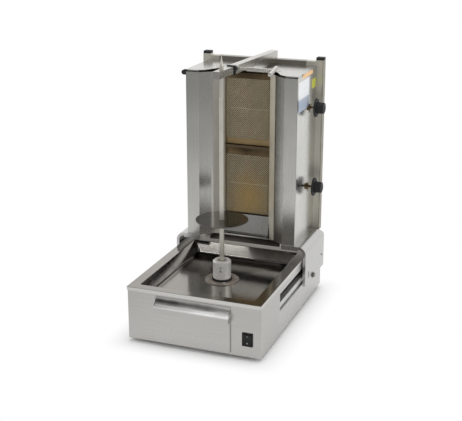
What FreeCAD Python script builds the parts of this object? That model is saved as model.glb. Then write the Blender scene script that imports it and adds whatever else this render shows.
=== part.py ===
import FreeCAD, Part
import math
import os

# Gas doner kebab grill, built piece by piece in millimetres.
# X runs to the right of the grill, Y from its front to its back, Z up from the worktop.
# The origin is on the worktop, under the middle of the base.

# Base
BASE_WIDTH = 430.0
BASE_DEPTH = 634.0
FOOT_HEIGHT = 12.0
BASE_TOP = 181.4
SHELL_T = 1.5
SHELL_BEND_R = 3.0
FRONT_WRAP_DEPTH = 176.0
FLOOR_RIM_HEIGHT = 8.0
FOOT_R = 19.0
FOOT_TAPER = 2.0
FOOT_INSET_X = 45.0
FOOT_INSET_Y = 47.0

# Drip tray
TRAY_T = 1.5
TRAY_LIP_HEIGHT = 11.9
TRAY_LIP_GAP = 0.3
TRAY_CORNER_R = 4.0
RIM_SIDE = 30.5
RIM_FRONT = 28.0
RIM_REAR = 177.0
PAN_DEPTH = 38.4
PAN_SLOPE = 19.5
PAN_CORNER_R = 16.0
DRAIN_R = 14.0
DRAIN_SETBACK = 82.0
DRAIN_SPOUT_LENGTH = 11.0
DRAIN_SPOUT_T = 1.5

# Side slots and slide rails
SLOT_FRONT_WEB = 4.0
SLOT_REAR_WEB = 27.0
SLOT_RISE = 78.0
SLOT_HEIGHT = 58.0
SLOT_CORNER_R = 3.0
RAIL_DEPTH = 15.4
RAIL_WEB = 5.0
RAIL_BELOW_SLOT = 6.0
RAIL_HEIGHT = 34.0
GROOVE_HEIGHT = 11.0
GROOVE_ABOVE_SLOT = 1.0
SHOE_CLEARANCE = 0.35
SHOE_LENGTH = 56.0
SHOE_FROM_REAR = 128.0

# Spit axis and drive
SPIT_BEFORE_CABINET = 166.2
SPIT_TURN = 11.0
SOCKET_R = 29.0
SOCKET_HEIGHT = 63.7
SOCKET_LIFT = 0.3
SOCKET_CHAMFER = 3.0
SOCKET_MOUTH_R = 16.0
SOCKET_MOUTH_DEPTH = 12.0
SOCKET_DEPTH = 44.0
SHAFT_R = 10.0
SHAFT_GRIP = 14.0
SHAFT_INTO_GEARBOX = 30.0
RUNNING_FIT = 0.05
SEAL_HEIGHT = 5.4
SEAL_T = 2.8
SET_SCREW_R = 4.0
SET_SCREW_RECESS = 1.5
SET_SCREW_DROPS = (19.0, 30.0)
SCREW_HOLE_CLEARANCE = 0.2
FLANGE_R = 54.0
FLANGE_T = 3.0
FLANGE_BOSS_R = 19.8
FLANGE_BOSS_LENGTH = 12.0
FLANGE_SCREW_CIRCLE_R = 43.0
FLANGE_SCREW_COUNT = 4
FLANGE_SCREW_TURN = 28.0
FLANGE_SCREW_R = 2.5
FLANGE_SCREW_HEAD_R = 4.6
FLANGE_SCREW_HEAD_H = 2.6

# Spit
ROD_SIZE = 13.0
ROD_FIT = 0.3
NECK_R = 6.3
NECK_LENGTH = 95.0
SPEAR_ABOVE_ARM = 24.2
SPEAR_SHOULDER_LENGTH = 14.0
SPEAR_NARROW_R = 2.9
SPEAR_LENGTH = 34.0
TIP_R = 0.5
DISC_R = 83.0
DISC_T = 3.0
DISC_ABOVE_SOCKET = 132.5
DISC_PIN_R = 2.5
DISC_PIN_LENGTH = 26.0

# Gear motor
GEARBOX_SIZE = 88.0
GEARBOX_HEIGHT = 54.0
GEARBOX_FLANGE_X = 124.0
GEARBOX_FLANGE_Y = 104.0
GEARBOX_FLANGE_T = 3.5
MOTOR_R = 31.0
MOTOR_LENGTH = 60.0
MOTOR_CAP_R = 24.0
MOTOR_CAP_LENGTH = 4.0

# Drawer
DRAWER_WIDTH = 241.0
DRAWER_BOTTOM = 18.0
DRAWER_TOP = 164.0
DRAWER_FACE_PROUD = 6.0
DRAWER_SHEET_T = 1.5
DRAWER_GAP = 0.4
PULL_PROUD = 20.0
PULL_BEAD_R = 4.5
PULL_BEAD_Z = 135.0
PULL_LIP_BOTTOM = 116.0
PULL_BEND_R = 12.0
PULL_HOOD_DROP = 12.0
PULL_HOOD_REACH = 2.5
PULL_HOOD_OVERLAP = 1.5
FACE_TOP_DROP = 22.0
DRAWER_PAN_WIDTH = 222.0
DRAWER_BACK_GAP = 30.9
DRAWER_PAN_BOTTOM = 22.0
DRAWER_PAN_HEIGHT = 102.0
DRAWER_PAN_T = 1.2
DRAWER_OPENING_GAP = 2.0
RUNNER_T = 1.5
RUNNER_LEDGE = 12.0
RUNNER_HEIGHT = 24.0
RUNNER_GAP = 0.4

# Rocker switch
SWITCH_INSET_X = 40.5
SWITCH_RISE = 56.3
SWITCH_WIDTH = 34.0
SWITCH_HEIGHT = 43.4
SWITCH_BEZEL_T = 2.2
SWITCH_BODY_WIDTH = 29.0
SWITCH_BODY_HEIGHT = 39.6
SWITCH_BODY_DEPTH = 26.0
SWITCH_WALL = 1.6
ROCKER_GAP = 0.6
ROCKER_PROUD = 4.2
ROCKER_DISH = 2.4
ROCKER_DEPTH = 9.0
ROCKER_PIVOT_R = 1.5
ROCKER_PIVOT_REACH = 1.0

# Electrics in the base
TERMINAL_SIZE = (60.0, 26.0, 24.0)
TERMINAL_SETBACK = 77.0
MAINS_INSET_X = 65.0
GLAND_RISE = 50.0
GLAND_R = 12.0
GLAND_BORE_R = 4.5
GLAND_LENGTH = 22.0
GLAND_NECK_R = 9.0

# Tower brackets
BRACKET_STANDOFF = 13.0
BRACKET_PAST_COLUMN = 1.9
BRACKET_RISE = 40.6
BRACKET_BELOW_SLOT = 2.0
BRACKET_FRONT_REACH = 3.7
BRACKET_REAR_REACH = 8.0
BRACKET_T = 2.5
BRACKET_BEND_R = 27.0
BRACKET_RIM = 9.0
BRACKET_LIP_HEIGHT = 14.5
BRACKET_TAIL_R = 28.0
BRACKET_SLIT_SETBACK = 38.0
BRACKET_SLIT_R = 2.5
BRACKET_SLIT_RISE = 16.0
BRACKET_SLIT_LENGTH = 24.0
BOLT_R = 4.0
BOLT_HEAD_R = 8.0
BOLT_HEAD_H = 6.0
WASHER_R = 10.5
WASHER_T = 1.6

# Burner cabinet
CAB_INSET_X = 26.7
CAB_INSET_BACK = 19.0
CAB_DEPTH = 206.3
CAB_HEADROOM = 14.0
CAB_T = 1.2
CAB_BEND_R = 2.0
COLUMN_WIDTH = 43.4
REFLECTOR_WIDTH = 33.5
FACET_DEPTH = 23.9
STEP_SIZE = 5.0
OPENING_MARGIN = 11.5
OPENING_DEPTH = 63.3
JAMB_DEPTH = 12.0
FRONT_TOP_GAP = 5.5
TOP_T = 1.5
TOP_FRONT_OVERHANG = 1.2
TOP_CENTRE_DEPTH = 57.3
TOP_NOTCH_STEP = 10.0
TOP_SHOULDER_STEP = 16.9
TOP_SHOULDER_DEPTH = 12.3
TOP_COLUMN_STEP = 6.1
TOP_HOLE_STEP = 5.0
TOP_HOLE_DEPTH = 72.3
TOP_HOLE_R = 4.5
TOP_FLANGE_HEIGHT = 14.0
TOP_FLANGE_SETBACK = 8.0
SEAM_GAP = 0.1
LOWER_PANEL_SIDE = 13.0
LOWER_PANEL_DEPTH = 57.8
LOWER_PANEL_RAKE = 18.5
LOWER_PANEL_DROP = 24.0
LOWER_PANEL_FLANGE = 16.0
SHIELD_GAP = 1.0
SHIELD_RISE = 6.5
SHIELD_TOP_DEPTH = 66.3
SHIELD_RAKE = 11.0
SHIELD_LIP = 8.0
SHIELD_LIP_DROP = 3.0
CAP_PLUG_R = 8.0
CAP_PLUG_REACH = 14.5
CAP_PLUG_DROP = 10.0
CAP_PLUG_LENGTH = 14.0

# Burners
WINDOW_HEIGHT = 199.0
LOWER_WINDOW_RISE = 71.0
LOWER_BOX_BELOW = 3.0
LOWER_BOX_ABOVE = 24.0
UPPER_BOX_BELOW = 20.0
UPPER_BOX_ABOVE = 18.0
BURNER_GAP = 11.0
BURNER_SETBACK = 77.3
BURNER_DEPTH = 60.0
BURNER_T = 1.2
WINDOW_MARGIN = 5.0
MESH_T = 0.8
SCREEN_SIDE_GAP = 0.3
PLAQUE_GAP = 0.1
PLAQUE_HALF_W = 66.0
PLAQUE_T = 13.0
PLAQUE_SETBACK = 2.6
PLAQUE_MARGIN = 2.0
PLAQUE_SEAM = 2.0
PLAQUE_LEDGE = 5.0
DIVIDER_HALF_H = 4.0

# Gas controls
UPPER_VALVE_INSET = 78.0
UPPER_VALVE_RISE = 435.0
LOWER_VALVE_INSET = 81.0
LOWER_VALVE_RISE = 170.0
VALVE_R = 15.0
VALVE_LENGTH = 36.0
VALVE_NOSE_R = 11.0
VALVE_NOSE_REACH = 6.0
VALVE_BORE_DEPTH = 26.0
STEM_R = 4.0
STEM_REACH = 43.0
KNOB_STANDOFF = 22.7
KNOB_SKIRT_R = 30.5
KNOB_SKIRT_T = 4.5
KNOB_GRIP_R = 19.0
KNOB_GRIP_LENGTH = 24.5
KNOB_END_WALL = 4.5
KNOB_RIB_COUNT = 12
KNOB_RIB_R = 1.6
KNOB_EDGE_R = 2.0
INJECTOR_R = 6.0
MANIFOLD_R = 8.0
MANIFOLD_INSET_X = 20.3
MANIFOLD_INSET_Y = 46.0
MANIFOLD_RISE = 40.0
MANIFOLD_ABOVE_VALVE = 24.0
MANIFOLD_STUB_R = 5.0
INLET_R = 10.45
INLET_REACH = 24.0
INLET_HEX_R = 14.0
INLET_HEX_T = 8.0
INLET_BORE_R = 6.5

# Rear frame
TUBE = 25.6
TUBE_WALL = 1.5
FRAME_PAST_CABINET = 22.7
FRAME_GAP = 0.2
FRAME_FOOT_DROP = 7.0
FRAME_RISE = 18.6
CROSSBAR_DROP = 4.6
FRAME_CORNER_LENGTH = 59.0
FRAME_CAP_H = 8.4
FRAME_PLUG_DEPTH = 10.0

# Top arm
ARM_SIZE = 25.0
ARM_WALL = 1.2
ARM_LIFT = 0.3
ARM_PIVOT_X = 32.0
GUIDE_TO_SPIT = 64.7
GUIDE_LENGTH = 8.0
GUIDE_SLEEVE = 3.0
GUIDE_WALL = 1.4
GUIDE_GAP = 0.1
BAR_CLEARANCE = 0.3
BAR_TAIL = 150.0
BAR_NOSE = 35.5
BAR_WALL = 2.0
BAR_END_T = 3.0
BAR_HOLE_R = 8.0
PIVOT_PIN_R = 5.0
PIVOT_HEAD_R = 8.0
PIVOT_HEAD_H = 5.0
CLAMP_BACK = 18.2
CLAMP_RISE = 3.2
CLAMP_BOSS_R = 9.5
CLAMP_BOSS_LENGTH = 8.0
CLAMP_THREAD_R = 4.5
CLAMP_THREAD_LENGTH = 27.0
CLAMP_SHANK_R = 7.0
CLAMP_LENGTH = 119.8
CLAMP_HANDLE_R = 6.5
CLAMP_HANDLE_LENGTH = 58.0
CLAMP_HANDLE_TILT = 15.0
CLAMP_TIP_GAP = 0.3

# Sizes worked out from the ones above
BASE_X = BASE_WIDTH / 2
BASE_FRONT = -BASE_DEPTH / 2
BASE_BACK = BASE_DEPTH / 2
WRAP_END = BASE_FRONT + FRONT_WRAP_DEPTH
WALL_TOP = BASE_TOP - TRAY_T
PAN_FLOOR = BASE_TOP - PAN_DEPTH
SHELL_INNER_X = BASE_X - SHELL_T
SLOT_REAR_Y = BASE_BACK - SLOT_REAR_WEB
SLOT_BOTTOM = FOOT_HEIGHT + SLOT_RISE
RAIL_BOTTOM = SLOT_BOTTOM - RAIL_BELOW_SLOT
GROOVE_BOTTOM = SLOT_BOTTOM + GROOVE_ABOVE_SLOT
SHOE_Z = GROOVE_BOTTOM + GROOVE_HEIGHT / 2
SWITCH_X = BASE_X - SWITCH_INSET_X
SWITCH_Z = FOOT_HEIGHT + SWITCH_RISE
MAINS_X = MAINS_INSET_X - BASE_X
TERMINAL_Y = BASE_BACK - TERMINAL_SETBACK
GLAND_Z = FOOT_HEIGHT + GLAND_RISE

CAB_HALF_W = BASE_X - CAB_INSET_X
CAB_BACK_Y = BASE_BACK - CAB_INSET_BACK
CAB_FRONT_Y = CAB_BACK_Y - CAB_DEPTH
OPENING_HALF_W = PLAQUE_HALF_W + OPENING_MARGIN
OPENING_Y = CAB_FRONT_Y + OPENING_DEPTH
COLUMN_INNER_X = CAB_HALF_W - COLUMN_WIDTH
FACET_STEP_X = OPENING_HALF_W + REFLECTOR_WIDTH
FACET_STEP_Y = CAB_FRONT_Y + FACET_DEPTH

BRACKET_FACE_X = BASE_X + BRACKET_STANDOFF
BRACKET_INNER_FACE = BRACKET_FACE_X - BRACKET_T
BRACKET_INNER_X = COLUMN_INNER_X - BRACKET_PAST_COLUMN
BRACKET_TOP = BASE_TOP + BRACKET_RISE
BRACKET_BOTTOM = SLOT_BOTTOM - BRACKET_BELOW_SLOT
BRACKET_FRONT_Y = CAB_FRONT_Y - BRACKET_FRONT_REACH
BRACKET_REAR_Y = CAB_BACK_Y + BRACKET_REAR_REACH
BRACKET_LIP_END_X = BRACKET_FACE_X - BRACKET_BEND_R
BRACKET_SLIT_Y = BRACKET_FRONT_Y + BRACKET_SLIT_SETBACK
BRACKET_SLIT_BOTTOM = BRACKET_BOTTOM + BRACKET_SLIT_RISE
SHOE_Y = BRACKET_REAR_Y - SHOE_FROM_REAR


def burner_heights(rise, below, above):
    """Bottom and top of a burner's window, then of its box."""
    window_bottom = BRACKET_TOP + rise
    window_top = window_bottom + WINDOW_HEIGHT
    return window_bottom, window_top, window_bottom - below, window_top + above


BURNER_LOWER = burner_heights(LOWER_WINDOW_RISE, LOWER_BOX_BELOW, LOWER_BOX_ABOVE)
UPPER_WINDOW_RISE = BURNER_LOWER[3] + BURNER_GAP + UPPER_BOX_BELOW - BRACKET_TOP
BURNER_UPPER = burner_heights(UPPER_WINDOW_RISE, UPPER_BOX_BELOW, UPPER_BOX_ABOVE)
CAB_TOP = BURNER_UPPER[3] + CAB_HEADROOM
TOP_CENTRE_Y = CAB_FRONT_Y + TOP_CENTRE_DEPTH
TOP_NOTCH_X = FACET_STEP_X - TOP_NOTCH_STEP
TOP_SHOULDER_X = COLUMN_INNER_X - TOP_SHOULDER_STEP
TOP_SHOULDER_Y = CAB_FRONT_Y + TOP_SHOULDER_DEPTH
TOP_COLUMN_X = COLUMN_INNER_X + TOP_COLUMN_STEP
TOP_HOLE_X = FACET_STEP_X - TOP_HOLE_STEP
TOP_HOLE_Y = CAB_FRONT_Y + TOP_HOLE_DEPTH
LOWER_PANEL_HALF_W = FACET_STEP_X + LOWER_PANEL_SIDE
LOWER_PANEL_Y = CAB_FRONT_Y + LOWER_PANEL_DEPTH
CAP_PLUG_Z = CAB_TOP - CAP_PLUG_DROP
BURNER_FACE_Y = CAB_FRONT_Y + BURNER_SETBACK
WINDOW_HALF_W = PLAQUE_HALF_W + WINDOW_MARGIN
SHIELD_TOP = BURNER_LOWER[2] - SHIELD_GAP
SHIELD_BOTTOM = BRACKET_TOP + SHIELD_RISE
SHIELD_TOP_Y = CAB_FRONT_Y + SHIELD_TOP_DEPTH
SHIELD_BOTTOM_Y = SHIELD_TOP_Y - SHIELD_RAKE
VALVE_UPPER = (CAB_BACK_Y - UPPER_VALVE_INSET, BRACKET_TOP + UPPER_VALVE_RISE)
VALVE_LOWER = (CAB_BACK_Y - LOWER_VALVE_INSET, BRACKET_TOP + LOWER_VALVE_RISE)
MANIFOLD_X = CAB_HALF_W - MANIFOLD_INSET_X
MANIFOLD_Y = CAB_BACK_Y - MANIFOLD_INSET_Y
MANIFOLD_BOTTOM = BRACKET_TOP + MANIFOLD_RISE

FRAME_HALF_W = CAB_HALF_W + FRAME_PAST_CABINET
FRAME_FRONT = CAB_BACK_Y + FRAME_GAP
FRAME_MID_Y = FRAME_FRONT + TUBE / 2
FRAME_BOTTOM = BRACKET_TOP - FRAME_FOOT_DROP
FRAME_TOP = CAB_TOP + FRAME_RISE
FRAME_JOINT_X = FRAME_HALF_W - FRAME_CORNER_LENGTH
CROSSBAR_TOP = FRAME_TOP - CROSSBAR_DROP
ARM_BOTTOM = CROSSBAR_TOP + ARM_LIFT
ARM_MID_Z = ARM_BOTTOM + ARM_SIZE / 2

SPIT_Y = CAB_FRONT_Y - SPIT_BEFORE_CABINET
FLANGE_TOP = PAN_FLOOR + FLANGE_T
SOCKET_BOTTOM = FLANGE_TOP + SOCKET_LIFT
SOCKET_TOP = SOCKET_BOTTOM + SOCKET_HEIGHT
ROD_BOTTOM = SOCKET_TOP - SOCKET_DEPTH + ROD_FIT
DISC_Z = SOCKET_TOP + DISC_ABOVE_SOCKET
SPEAR_BASE_Z = ARM_MID_Z + SPEAR_ABOVE_ARM
SPEAR_NARROW_Z = SPEAR_BASE_Z + SPEAR_SHOULDER_LENGTH
TIP_Z = SPEAR_BASE_Z + SPEAR_LENGTH
ROD_NECK_Z = SPEAR_BASE_Z - NECK_LENGTH
GEARBOX_TOP = PAN_FLOOR - TRAY_T - GEARBOX_FLANGE_T
DRAWER_BACK_Y = SPIT_Y - GEARBOX_SIZE / 2 - DRAWER_BACK_GAP

ARM_HOLE = math.hypot(ARM_PIVOT_X, FRAME_MID_Y - SPIT_Y)
ARM_TURN = -math.degrees(math.atan2(ARM_PIVOT_X, FRAME_MID_Y - SPIT_Y))
ARM_FRONT = ARM_HOLE - GUIDE_TO_SPIT
BAR_SIZE = ARM_SIZE - 2 * ARM_WALL - 2 * BAR_CLEARANCE

X_AXIS = FreeCAD.Vector(1, 0, 0)
Y_AXIS = FreeCAD.Vector(0, 1, 0)
Z_AXIS = FreeCAD.Vector(0, 0, 1)
ORIGIN = FreeCAD.Vector(0, 0, 0)


def point(plane, u, v, w):
    """The point with in-plane places u, v and the place w across the plane."""
    if plane == "xy":
        return FreeCAD.Vector(u, v, w)
    if plane == "yz":
        return FreeCAD.Vector(w, u, v)
    return FreeCAD.Vector(u, w, v)


def rounded_wire(corners, plane, w):
    """A closed wire through corners (u, v) or (u, v, radius)."""
    stops = []
    count = len(corners)
    for i in range(count):
        here = corners[i]
        corner = FreeCAD.Vector(here[0], here[1], 0)
        radius = here[2] if len(here) > 2 else 0.0
        if radius <= 0:
            stops.append((corner,))
            continue
        before = corners[i - 1]
        after = corners[(i + 1) % count]
        back = (FreeCAD.Vector(before[0], before[1], 0) - corner).normalize()
        ahead = (FreeCAD.Vector(after[0], after[1], 0) - corner).normalize()
        half = back.getAngle(ahead) / 2
        reach = radius / math.tan(half)
        middle = (back + ahead).normalize()
        centre = corner + middle * (radius / math.sin(half))
        stops.append((corner + back * reach, centre - middle * radius, corner + ahead * reach))
    edges = []
    for i in range(count):
        stop = [point(plane, p.x, p.y, w) for p in stops[i]]
        if len(stop) == 3:
            edges.append(Part.Arc(stop[0], stop[1], stop[2]).toShape())
        start = stop[-1]
        following = stops[(i + 1) % count][0]
        end = point(plane, following.x, following.y, w)
        if start.distanceToPoint(end) > 1e-6:
            edges.append(Part.LineSegment(start, end).toShape())
    return Part.Wire(edges)


def prism(corners, plane, start, end):
    """A solid with the given outline, from start to end across the plane."""
    face = Part.Face(rounded_wire(corners, plane, start))
    solid = face.extrude(point(plane, 0, 0, end - start))
    if solid.Volume < 0:
        solid.reverse()
    return solid


def sheet_outline(path, thickness):
    """The outline of a folded sheet lying to the left of a path of (u, v) or (u, v, radius)."""
    count = len(path)
    spots = [FreeCAD.Vector(p[0], p[1], 0) for p in path]
    ways = [(spots[i + 1] - spots[i]).normalize() for i in range(count - 1)]
    sides = [FreeCAD.Vector(-way.y, way.x, 0) for way in ways]
    far = []
    for i in range(count):
        before = sides[max(i - 1, 0)]
        after = sides[min(i, count - 2)]
        shift = (before + after) * (thickness / (1 + before.dot(after)))
        spot = spots[i] + shift
        radius = path[i][2] if len(path[i]) > 2 else 0.0
        if radius > 0 and 0 < i < count - 1:
            turn = ways[i - 1].cross(ways[i]).z
            radius = radius - thickness if turn > 0 else radius + thickness
        far.append((spot.x, spot.y, max(radius, 0.0)))
    return list(path) + far[::-1]


def box(x0, x1, y0, y1, z0, z1):
    """A box between two corners."""
    return Part.makeBox(x1 - x0, y1 - y0, z1 - z0, FreeCAD.Vector(x0, y0, z0))


def rod(radius, start, axis, length):
    """A cylinder from start along axis."""
    return Part.makeCylinder(radius, length, start, axis)


def rounded_rectangle(x0, x1, y0, y1, radius):
    """The four corners of a rectangle, all with one radius."""
    return [(x0, y0, radius), (x1, y0, radius), (x1, y1, radius), (x0, y1, radius)]


def mirrored(shape):
    """The same shape on the other side of the grill."""
    return shape.mirror(ORIGIN, X_AXIS)


def square_tube(side, wall, start, end, centre, axis):
    """A square tube of the given side along axis x, y or z, centred on two places."""
    def bar(half):
        a, b = centre
        if axis == "x":
            return box(start, end, a - half, a + half, b - half, b + half)
        if axis == "y":
            return box(a - half, a + half, start, end, b - half, b + half)
        return box(a - half, a + half, b - half, b + half, start, end)
    return bar(side / 2).cut(bar(side / 2 - wall))


def export(name, shapes):
    """Writes one named piece, or a group of like pieces, as a STEP file."""
    group = shapes if isinstance(shapes, list) else [shapes]
    solids = []
    for shape in group:
        solids.extend(shape.Solids)
    whole = solids[0] if len(solids) == 1 else Part.makeCompound(solids)
    if not whole.isValid():
        print("not valid:", name)
    whole.exportStep("parts/" + name + ".step")
    print(name, len(solids), "solids", round(whole.Volume / 1000, 2), "cm3")


def on_spit_axis(z):
    """The point on the spit's axis at height z."""
    return FreeCAD.Vector(0, SPIT_Y, z)


def turned_on_spit(shape):
    """Turns a piece about the spit's axis to the angle at which the spit stands."""
    return shape.rotate(on_spit_axis(0), Z_AXIS, SPIT_TURN)


def base_shell():
    """Folded front and front side walls, with the drawer opening and the switch cut-out."""
    path = [(-BASE_X, WRAP_END), (-BASE_X, BASE_FRONT, SHELL_BEND_R),
            (BASE_X, BASE_FRONT, SHELL_BEND_R), (BASE_X, WRAP_END)]
    wall = prism(sheet_outline(path, SHELL_T), "xy", FOOT_HEIGHT, WALL_TOP)
    half = DRAWER_PAN_WIDTH / 2 + DRAWER_OPENING_GAP
    opening = box(-half, half, BASE_FRONT - 1, BASE_FRONT + SHELL_T + 1,
                  DRAWER_PAN_BOTTOM - DRAWER_OPENING_GAP,
                  DRAWER_PAN_BOTTOM + DRAWER_PAN_HEIGHT + DRAWER_OPENING_GAP)
    switch = box(SWITCH_X - SWITCH_BODY_WIDTH / 2, SWITCH_X + SWITCH_BODY_WIDTH / 2,
                 BASE_FRONT - 1, BASE_FRONT + SHELL_T + 1,
                 SWITCH_Z - SWITCH_BODY_HEIGHT / 2, SWITCH_Z + SWITCH_BODY_HEIGHT / 2)
    return wall.cut([opening, switch])


def side_panel():
    """Right rear side wall with the long slot for the tower's slide block."""
    wall = box(SHELL_INNER_X, BASE_X, WRAP_END, BASE_BACK - SHELL_T, FOOT_HEIGHT, WALL_TOP)
    outline = rounded_rectangle(WRAP_END + SLOT_FRONT_WEB, SLOT_REAR_Y,
                                SLOT_BOTTOM, SLOT_BOTTOM + SLOT_HEIGHT, SLOT_CORNER_R)
    slot = prism(outline, "yz", SHELL_INNER_X - 1, BASE_X + 1)
    return wall.cut(slot)


def back_panel():
    """Rear wall with cooling slits and the hole for the cable gland."""
    wall = box(-BASE_X, BASE_X, BASE_BACK - SHELL_T, BASE_BACK, FOOT_HEIGHT, WALL_TOP)
    cuts = [rod(GLAND_NECK_R + SCREW_HOLE_CLEARANCE,
                FreeCAD.Vector(MAINS_X, BASE_BACK - SHELL_T - 1, GLAND_Z), Y_AXIS, SHELL_T + 2)]
    slit_length = 60.0
    slit_height = 5.0
    slit_pitch = 14.0
    for column in (-1, 0, 1):
        for row in range(4):
            x = column * (slit_length + 2 * slit_pitch)
            z = WALL_TOP - 2 * slit_pitch - row * slit_pitch
            outline = rounded_rectangle(x - slit_length / 2, x + slit_length / 2,
                                        z - slit_height / 2, z + slit_height / 2, slit_height / 2.1)
            cuts.append(prism(outline, "xz", BASE_BACK - SHELL_T - 1, BASE_BACK + 1))
    return wall.cut(cuts)


def floor_plate():
    """Bottom plate with an upturned edge, and vent holes below the motor."""
    inner = SHELL_INNER_X - SEAM_GAP
    front = BASE_FRONT + SHELL_T + SEAM_GAP
    back = BASE_BACK - SHELL_T - SEAM_GAP
    plate = box(-inner, inner, front, back, FOOT_HEIGHT, FOOT_HEIGHT + FLOOR_RIM_HEIGHT)
    hollow = box(-inner + SHELL_T, inner - SHELL_T, front + SHELL_T, back - SHELL_T,
                 FOOT_HEIGHT + SHELL_T, FOOT_HEIGHT + FLOOR_RIM_HEIGHT + 1)
    vent_r = 5.0
    vent_pitch = 22.0
    vents = []
    for i in (-2, -1, 0, 1, 2):
        for j in (0, 1, 2):
            spot = FreeCAD.Vector(i * vent_pitch, (j + 2) * vent_pitch, FOOT_HEIGHT - 1)
            vents.append(rod(vent_r, spot, Z_AXIS, SHELL_T + 2))
    return plate.cut([hollow] + vents)


def feet():
    """Four round feet under the floor plate's corners and one under its middle."""
    spots = [ORIGIN]
    for x in (-1, 1):
        for y in (-1, 1):
            spots.append(FreeCAD.Vector(x * (BASE_X - FOOT_INSET_X), y * (BASE_BACK - FOOT_INSET_Y), 0))
    return [Part.makeCone(FOOT_R - FOOT_TAPER, FOOT_R, FOOT_HEIGHT, spot, Z_AXIS) for spot in spots]


def loft_between(low, low_z, high, high_z):
    """A straight-sided solid between two rounded rectangles."""
    return Part.makeLoft([rounded_wire(low, "xy", low_z), rounded_wire(high, "xy", high_z)], True, True)


def drip_tray():
    """Rim, folded lip and sunk pan in one sheet, with the drain and the drive's hole."""
    lip_x = BASE_X + TRAY_LIP_GAP + TRAY_T
    lip_y = BASE_BACK + TRAY_LIP_GAP + TRAY_T
    outer = prism(rounded_rectangle(-lip_x, lip_x, -lip_y, lip_y, TRAY_CORNER_R), "xy",
                  BASE_TOP - TRAY_LIP_HEIGHT, BASE_TOP)
    inside_x = lip_x - TRAY_T
    inside_y = lip_y - TRAY_T
    inside = prism(rounded_rectangle(-inside_x, inside_x, -inside_y, inside_y, TRAY_CORNER_R - TRAY_T),
                   "xy", BASE_TOP - TRAY_LIP_HEIGHT - 1, WALL_TOP)
    half = BASE_X - RIM_SIDE
    front = BASE_FRONT + RIM_FRONT
    rear = BASE_BACK - RIM_REAR
    slope = PAN_SLOPE

    def level(grow, inset):
        return rounded_rectangle(-half + inset - grow, half - inset + grow,
                                 front + inset - grow, rear - inset + grow, PAN_CORNER_R)
    bowl = loft_between(level(TRAY_T, slope), PAN_FLOOR - TRAY_T, level(TRAY_T, 0.0), WALL_TOP)
    hollow = loft_between(level(0.0, slope), PAN_FLOOR, level(0.0, 0.0), BASE_TOP)
    drain_spot = FreeCAD.Vector(0, BASE_FRONT + DRAIN_SETBACK, PAN_FLOOR - TRAY_T - DRAIN_SPOUT_LENGTH)
    spout = rod(DRAIN_R + DRAIN_SPOUT_T, drain_spot, Z_AXIS, DRAIN_SPOUT_LENGTH + TRAY_T / 2)
    drain = rod(DRAIN_R, drain_spot, Z_AXIS, DRAIN_SPOUT_LENGTH + PAN_DEPTH)
    drive_hole = rod(FLANGE_BOSS_R + SCREW_HOLE_CLEARANCE, on_spit_axis(PAN_FLOOR - 2 * TRAY_T), Z_AXIS,
                     3 * TRAY_T)
    screw_holes = [rod(FLANGE_SCREW_R + SCREW_HOLE_CLEARANCE, spot - Z_AXIS * (FLANGE_T + TRAY_T + 1), Z_AXIS,
                       FLANGE_T + TRAY_T + 2) for spot in flange_screw_spots()]
    tray = outer.cut(inside).fuse([bowl, spout]).cut([hollow, drain, drive_hole] + screw_holes)
    return tray.removeSplitter()


def flange_screw_spots():
    """Places on the round plate's top where its screws sit."""
    spots = []
    for i in range(FLANGE_SCREW_COUNT):
        angle = math.radians(FLANGE_SCREW_TURN + i * 360.0 / FLANGE_SCREW_COUNT)
        offset = FreeCAD.Vector(math.cos(angle), math.sin(angle), 0) * FLANGE_SCREW_CIRCLE_R
        spots.append(on_spit_axis(FLANGE_TOP) + offset)
    return spots


def bearing_flange():
    """Round plate in the pan with the bush that the drive shaft turns in."""
    plate = rod(FLANGE_R, on_spit_axis(PAN_FLOOR), Z_AXIS, FLANGE_T)
    boss = rod(FLANGE_BOSS_R, on_spit_axis(PAN_FLOOR - FLANGE_BOSS_LENGTH), Z_AXIS,
               FLANGE_BOSS_LENGTH + FLANGE_T / 2)
    bore = rod(SHAFT_R + RUNNING_FIT, on_spit_axis(PAN_FLOOR - FLANGE_BOSS_LENGTH - 1), Z_AXIS,
               FLANGE_BOSS_LENGTH + FLANGE_T + 2)
    holes = [rod(FLANGE_SCREW_R + SCREW_HOLE_CLEARANCE, spot - Z_AXIS * (FLANGE_T + 1), Z_AXIS, FLANGE_T + 2)
             for spot in flange_screw_spots()]
    return plate.fuse(boss).cut([bore] + holes).removeSplitter()


def flange_screws():
    """Four round-head screws through the plate and the pan into the gearbox."""
    length = FLANGE_T + TRAY_T + GEARBOX_FLANGE_T
    screws = []
    for spot in flange_screw_spots():
        shank = rod(FLANGE_SCREW_R, spot - Z_AXIS * length, Z_AXIS, length + FLANGE_SCREW_HEAD_H / 2)
        head = rod(FLANGE_SCREW_HEAD_R, spot, Z_AXIS, FLANGE_SCREW_HEAD_H)
        rim = [edge for edge in head.Edges if edge.BoundBox.ZMin > spot.z + FLANGE_SCREW_HEAD_H - 0.1]
        head = head.makeFillet(FLANGE_SCREW_HEAD_H * 0.6, rim)
        screws.append(head.fuse(shank).removeSplitter())
    return screws


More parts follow.
